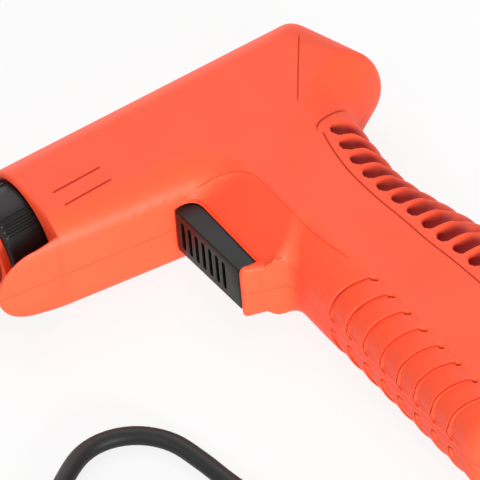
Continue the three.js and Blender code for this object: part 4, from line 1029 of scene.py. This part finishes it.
def make_ring():
    low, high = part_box("nose_ring")
    front, rear = low.x / MM, high.x / MM
    sections = []
    for degrees, rise in ring_angles():
        a = math.radians(degrees)
        # The profile as (x, radius against the ring's own), from the front's inside to the rear's.
        profile = [
            (front, RING_INSIDE - RING_RADIUS), (front, -0.9), (front + 0.15, -0.5), (front + 0.5, -0.12),
            (front + 1, 0), (front + 1.4, rise * 0.7), (front + 1.9, rise),
            (rear - 1.7, rise), (rear - 1.2, rise * 0.7), (rear - 0.9, 0),
            (rear - 0.4, -0.1), (rear - 0.1, -0.4), (rear, -0.8), (rear, RING_INSIDE - RING_RADIUS),
        ]
        turned = [(x, RING_RADIUS + more) for x, more in profile]
        sections.append([(x, r * math.sin(a), MID + r * math.cos(a)) for x, r in turned])
    ring_piece = piece("nose_ring_skin", lathe(sections), "ring", BLACK)
    smooth(ring_piece, 50)
    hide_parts("nose_ring")


# ---------------------------------------------------------------- the trigger

TRIGGER_NOSE_TOP_X, TRIGGER_NOSE_BOTTOM_X = -12.9, -11.8
TRIGGER_STEP_X, TRIGGER_REAR_TOP = 4, -29.3
TRIGGER_EDGE, TRIGGER_FACE_X = 0.45, -10.5       # its front edges' bevel, and the x that they lie before
LEVER_SLOT_X, LEVER_SLOT_Y, LEVER_SLOT_HALF = 9, -42, 2.4
SPRING_POCKET, SPRING_POCKET_RADIUS, SPRING_RISE = 12, 4.25, 6.85
DRIVE_PIN_INSET, DRIVE_PIN_Y, DRIVE_PIN_RADIUS, DRIVE_PIN_HALF = 6, -36.5, 1.5, 3.4
# The round-ended slots across the finger face.
SLOT_FIRST, SLOT_PITCH, SLOT_COUNT = -29.3, 3.02, 7
SLOT_HALF_LENGTH, SLOT_RADIUS, SLOT_DEPTH = 5.2, 0.75, 0.9


def prism(points, low, high):
    """A flat outline in x and y, carried from one height to another."""
    return stacked([[(x, y, z) for x, y in points] for z in (low, high)])


def finger_slot(y, face):
    """A cutter for one slot across the finger face, whose surface is at x = face there."""
    points = []
    straight = SLOT_HALF_LENGTH - SLOT_RADIUS
    for side in (1, -1):
        for a in (math.pi * k / 8 for k in range(9)):
            along, across = SLOT_RADIUS * math.sin(a), SLOT_RADIUS * math.cos(a)
            points.append((y + side * across, MID + side * (straight + along)))
    return scratch(stacked([[(x, py, pz) for py, pz in points] for x in (face - 2, face + SLOT_DEPTH)]))


def make_trigger():
    low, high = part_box("trigger")
    top, bottom, rear = high.y / MM, low.y / MM, high.x / MM
    half = (high.z - low.z) / 2 / MM
    nose_top, nose_bottom = TRIGGER_NOSE_TOP_X, TRIGGER_NOSE_BOTTOM_X
    profile = [
        (nose_top, top - 0.8), (nose_top + 0.2, top - 0.25), (nose_top + 0.8, top), (TRIGGER_STEP_X, top),
        (TRIGGER_STEP_X, TRIGGER_REAR_TOP), (rear, TRIGGER_REAR_TOP), (rear, bottom),
        (nose_bottom + 0.8, bottom), (nose_bottom + 0.25, bottom + 0.25), (nose_bottom, bottom + 0.8),
    ]
    bm = prism(profile, MID - half, MID + half)
    edges = [e for e in bm.edges if all(v.co.x < TRIGGER_FACE_X * MM for v in e.verts)
             and abs(e.verts[0].co.z - e.verts[1].co.z) < 1e-6]
    bmesh.ops.bevel(bm, geom=edges, offset=TRIGGER_EDGE * MM, segments=3, profile=0.5, affect="EDGES",
                    clamp_overlap=True, material=-1)
    trigger = scratch(bm)
    cuts = []
    for i in range(SLOT_COUNT):
        y = SLOT_FIRST - SLOT_PITCH * i
        share = (top - y) / (top - bottom)
        cuts.append(finger_slot(y, nose_top + (nose_bottom - nose_top) * share))
    slot_z = (MID - LEVER_SLOT_HALF, MID + LEVER_SLOT_HALF)
    cuts.append(scratch(block((LEVER_SLOT_X, rear + 1), (LEVER_SLOT_Y, top + 1), slot_z)))
    pocket_y, pocket_end = bottom + SPRING_RISE, rear - SPRING_POCKET
    pocket = rod(SPRING_POCKET_RADIUS, (pocket_end, pocket_y, MID), (rear + 1, pocket_y, MID), 32)
    cuts.append(scratch(pocket))
    combined(trigger, "DIFFERENCE", cuts)
    pin_x = rear - DRIVE_PIN_INSET
    pin_ends = [(pin_x, DRIVE_PIN_Y, MID + side * DRIVE_PIN_HALF) for side in (-1, 1)]
    pin = rod(DRIVE_PIN_RADIUS, *pin_ends, 24)
    combined(trigger, "UNION", [scratch(pin)])
    trigger.name = "trigger_skin"
    trigger.data.materials.clear()
    trigger.data.materials.append(BLACK)
    smooth(trigger, 40)
    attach(trigger, "trigger")
    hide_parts("trigger")


# ---------------------------------------------------------------- the lead

CORD_RADIUS = 2.6
ON_TABLE = CORD_RADIUS + 0.1
COIL_X, COIL_Y = -86, -130
COIL_WIDE, COIL_LEAD_IN, COIL_LEAD_OUT = 34.2, 40.4, 39.6
COIL_RISE = 5.35                  # between turns, sideways and upwards
COIL_STEPS, COIL_START, COIL_END = 80, -14, 401            # points in a turn, first point, last point
COIL_START_ANGLE = 190            # degrees
PLUG_X, PLUG_NECK_Y, PLUG_HEIGHT = -116.6, -179, 8.1
CORD_ROUTE = [
    (CORD_X, -176.3, MID), (CORD_X, -179.5, MID), (CORD_X, -184.5, 16.2), (24.6, -192, 13.4),
    (20.6, -199.6, 9.4), (14.4, -205.4, 5.8), (6.4, -208.8, 3.6),
    (-2.2, -209, ON_TABLE), (-10.6, -206, ON_TABLE), (-17.6, -200.4, ON_TABLE),
    (-23, -192, ON_TABLE), (-27, -181, ON_TABLE), (-30.4, -167, ON_TABLE),
    (-33.8, -151, ON_TABLE), (-37.6, -134, ON_TABLE), (-41, -121, ON_TABLE),
    (-44, -109, ON_TABLE), (-46.2, -97.5, ON_TABLE), (-47.6, -87.5, ON_TABLE),
    (-50, -77.2, ON_TABLE), (-55.4, -69.8, ON_TABLE), (-63, -65.8, ON_TABLE),
    (-71.4, -65.8, ON_TABLE), (-80.5, -70.5, ON_TABLE), (-90.6, -78.2, ON_TABLE),
    (-101, -87.6, ON_TABLE),
]
# From the coil to the plug's neck.
CORD_TAIL = [(-118.2, -158.5, 6.4), (-117.6, -167, 6.8), (PLUG_X, -174.5, PLUG_HEIGHT),
             (PLUG_X, PLUG_NECK_Y + 0.3, PLUG_HEIGHT)]


def coil_radius(turns):
    """The coil's radius after so many turns: it steps inwards twice and outwards again."""
    wide, middle, narrow = COIL_WIDE, COIL_WIDE - COIL_RISE, COIL_WIDE - 2 * COIL_RISE
    radius = COIL_LEAD_IN
    for start, end, value in ((-0.2, 0.0, wide), (0.8, 1.0, middle), (1.8, 2.0, narrow),
                              (3.2, 3.45, middle), (4.2, 4.45, wide), (4.98, 5.1, COIL_LEAD_OUT)):
        radius += (value - radius) * rises(turns, start, end)
    return radius


def coil_points():
    """The coil: two and a half turns inwards on the table, then as many outwards on top of them."""
    points = []
    for i in range(COIL_START, COIL_END + 1):
        turns = i / COIL_STEPS
        angle = math.radians(COIL_START_ANGLE) + 2 * math.pi * turns
        radius = coil_radius(turns)
        level = ON_TABLE + COIL_RISE * rises(turns, 2.5, 2.8)
        points.append((COIL_X + radius * math.cos(angle), COIL_Y + radius * math.sin(angle), level))
    return points


def flowing(points, step=2.0):
    """Points along a smooth curve through the given ones."""
    points = [Vector(p) for p in points]
    out = [points[0]]
    for i in range(len(points) - 1):
        a, b = points[max(i - 1, 0)], points[i]
        c, d = points[i + 1], points[min(i + 2, len(points) - 1)]
        pieces = max(1, round((c - b).length / step))
        for k in range(1, pieces + 1):
            t = k / pieces
            out.append(0.5 * ((2 * b) + (c - a) * t + (2 * a - 5 * b + 4 * c - d) * t * t
                              + (3 * b - a - 3 * c + d) * t ** 3))
    return out


def make_cord():
    line = flowing(CORD_ROUTE + coil_points() + CORD_TAIL)
    length = sum((b - a).length for a, b in zip(line, line[1:])) * MM
    data = bpy.data.curves.new("cord", "CURVE")
    data.dimensions = "3D"
    data.bevel_depth = CORD_RADIUS * MM
    data.bevel_resolution = 6
    data.use_fill_caps = True
    spline = data.splines.new("POLY")
    spline.points.add(len(line) - 1)
    spline.points.foreach_set("co", [value for p in line for value in (*(p * MM), 1)])
    spline.use_smooth = True
    cord = bpy.data.objects.new("lead", data)
    bpy.context.collection.objects.link(cord)
    data.materials.append(RUBBER)
    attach(cord, "gun")
    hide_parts("power_cord", "cord_coil", "cord_tail")
    plug = softened("plug_skin", "power_plug", "gun", RUBBER, 1.2)
    tuple(c * MM for c in CORD_ROUTE[0])


# ---------------------------------------------------------------- stage

def make_floor():
    bm = bmesh.new()
    bmesh.ops.create_grid(bm, x_segments=1, y_segments=1, size=4)
    mesh = bpy.data.meshes.new("floor")
    bm.to_mesh(mesh)
    bm.free()
    floor = bpy.data.objects.new("floor", mesh)
    bpy.context.collection.objects.link(floor)
    finish = Finish("floor")
    finish.set(Base_Color=(0.9, 0.9, 0.9), Roughness=0.9, Specular_IOR_Level=0.1)
    white = finish.node("ShaderNodeEmission", None, Color=(1, 1, 1, 1), Strength=1.0)
    seen = finish.seen_by("Is Camera Ray", "Is Glossy Ray")
    plain_floor = Socket(finish, finish.shader.outputs[0])
    surface = finish.node("ShaderNodeMixShader", None, seen * FLOOR_GLOW, plain_floor, white)
    finish.feed(finish.output.inputs["Surface"], surface)
    mesh.materials.append(finish.material)


def make_world():
    world = bpy.data.worlds.new("studio")
    bpy.context.scene.world = world
    world.use_nodes = True
    air = Nodes(world.node_tree)
    background = air.tree.nodes["Background"]
    seen = air.seen_by("Is Camera Ray", "Is Glossy Ray", "Is Transmission Ray")
    air.feed(background.inputs["Color"], (1, 1, 1, 1))
    air.feed(background.inputs["Strength"], seen * (1 - WORLD_LIGHT) + WORLD_LIGHT)


make_camera()
make_world()
make_floor()
for lamp_settings in LAMPS:
    make_lamp(*lamp_settings)
bpy.context.scene.view_settings.view_transform = "Standard"

dress_nodes()
make_cord()
make_shell(1)
make_shell(-1)
make_trigger()
make_ring()
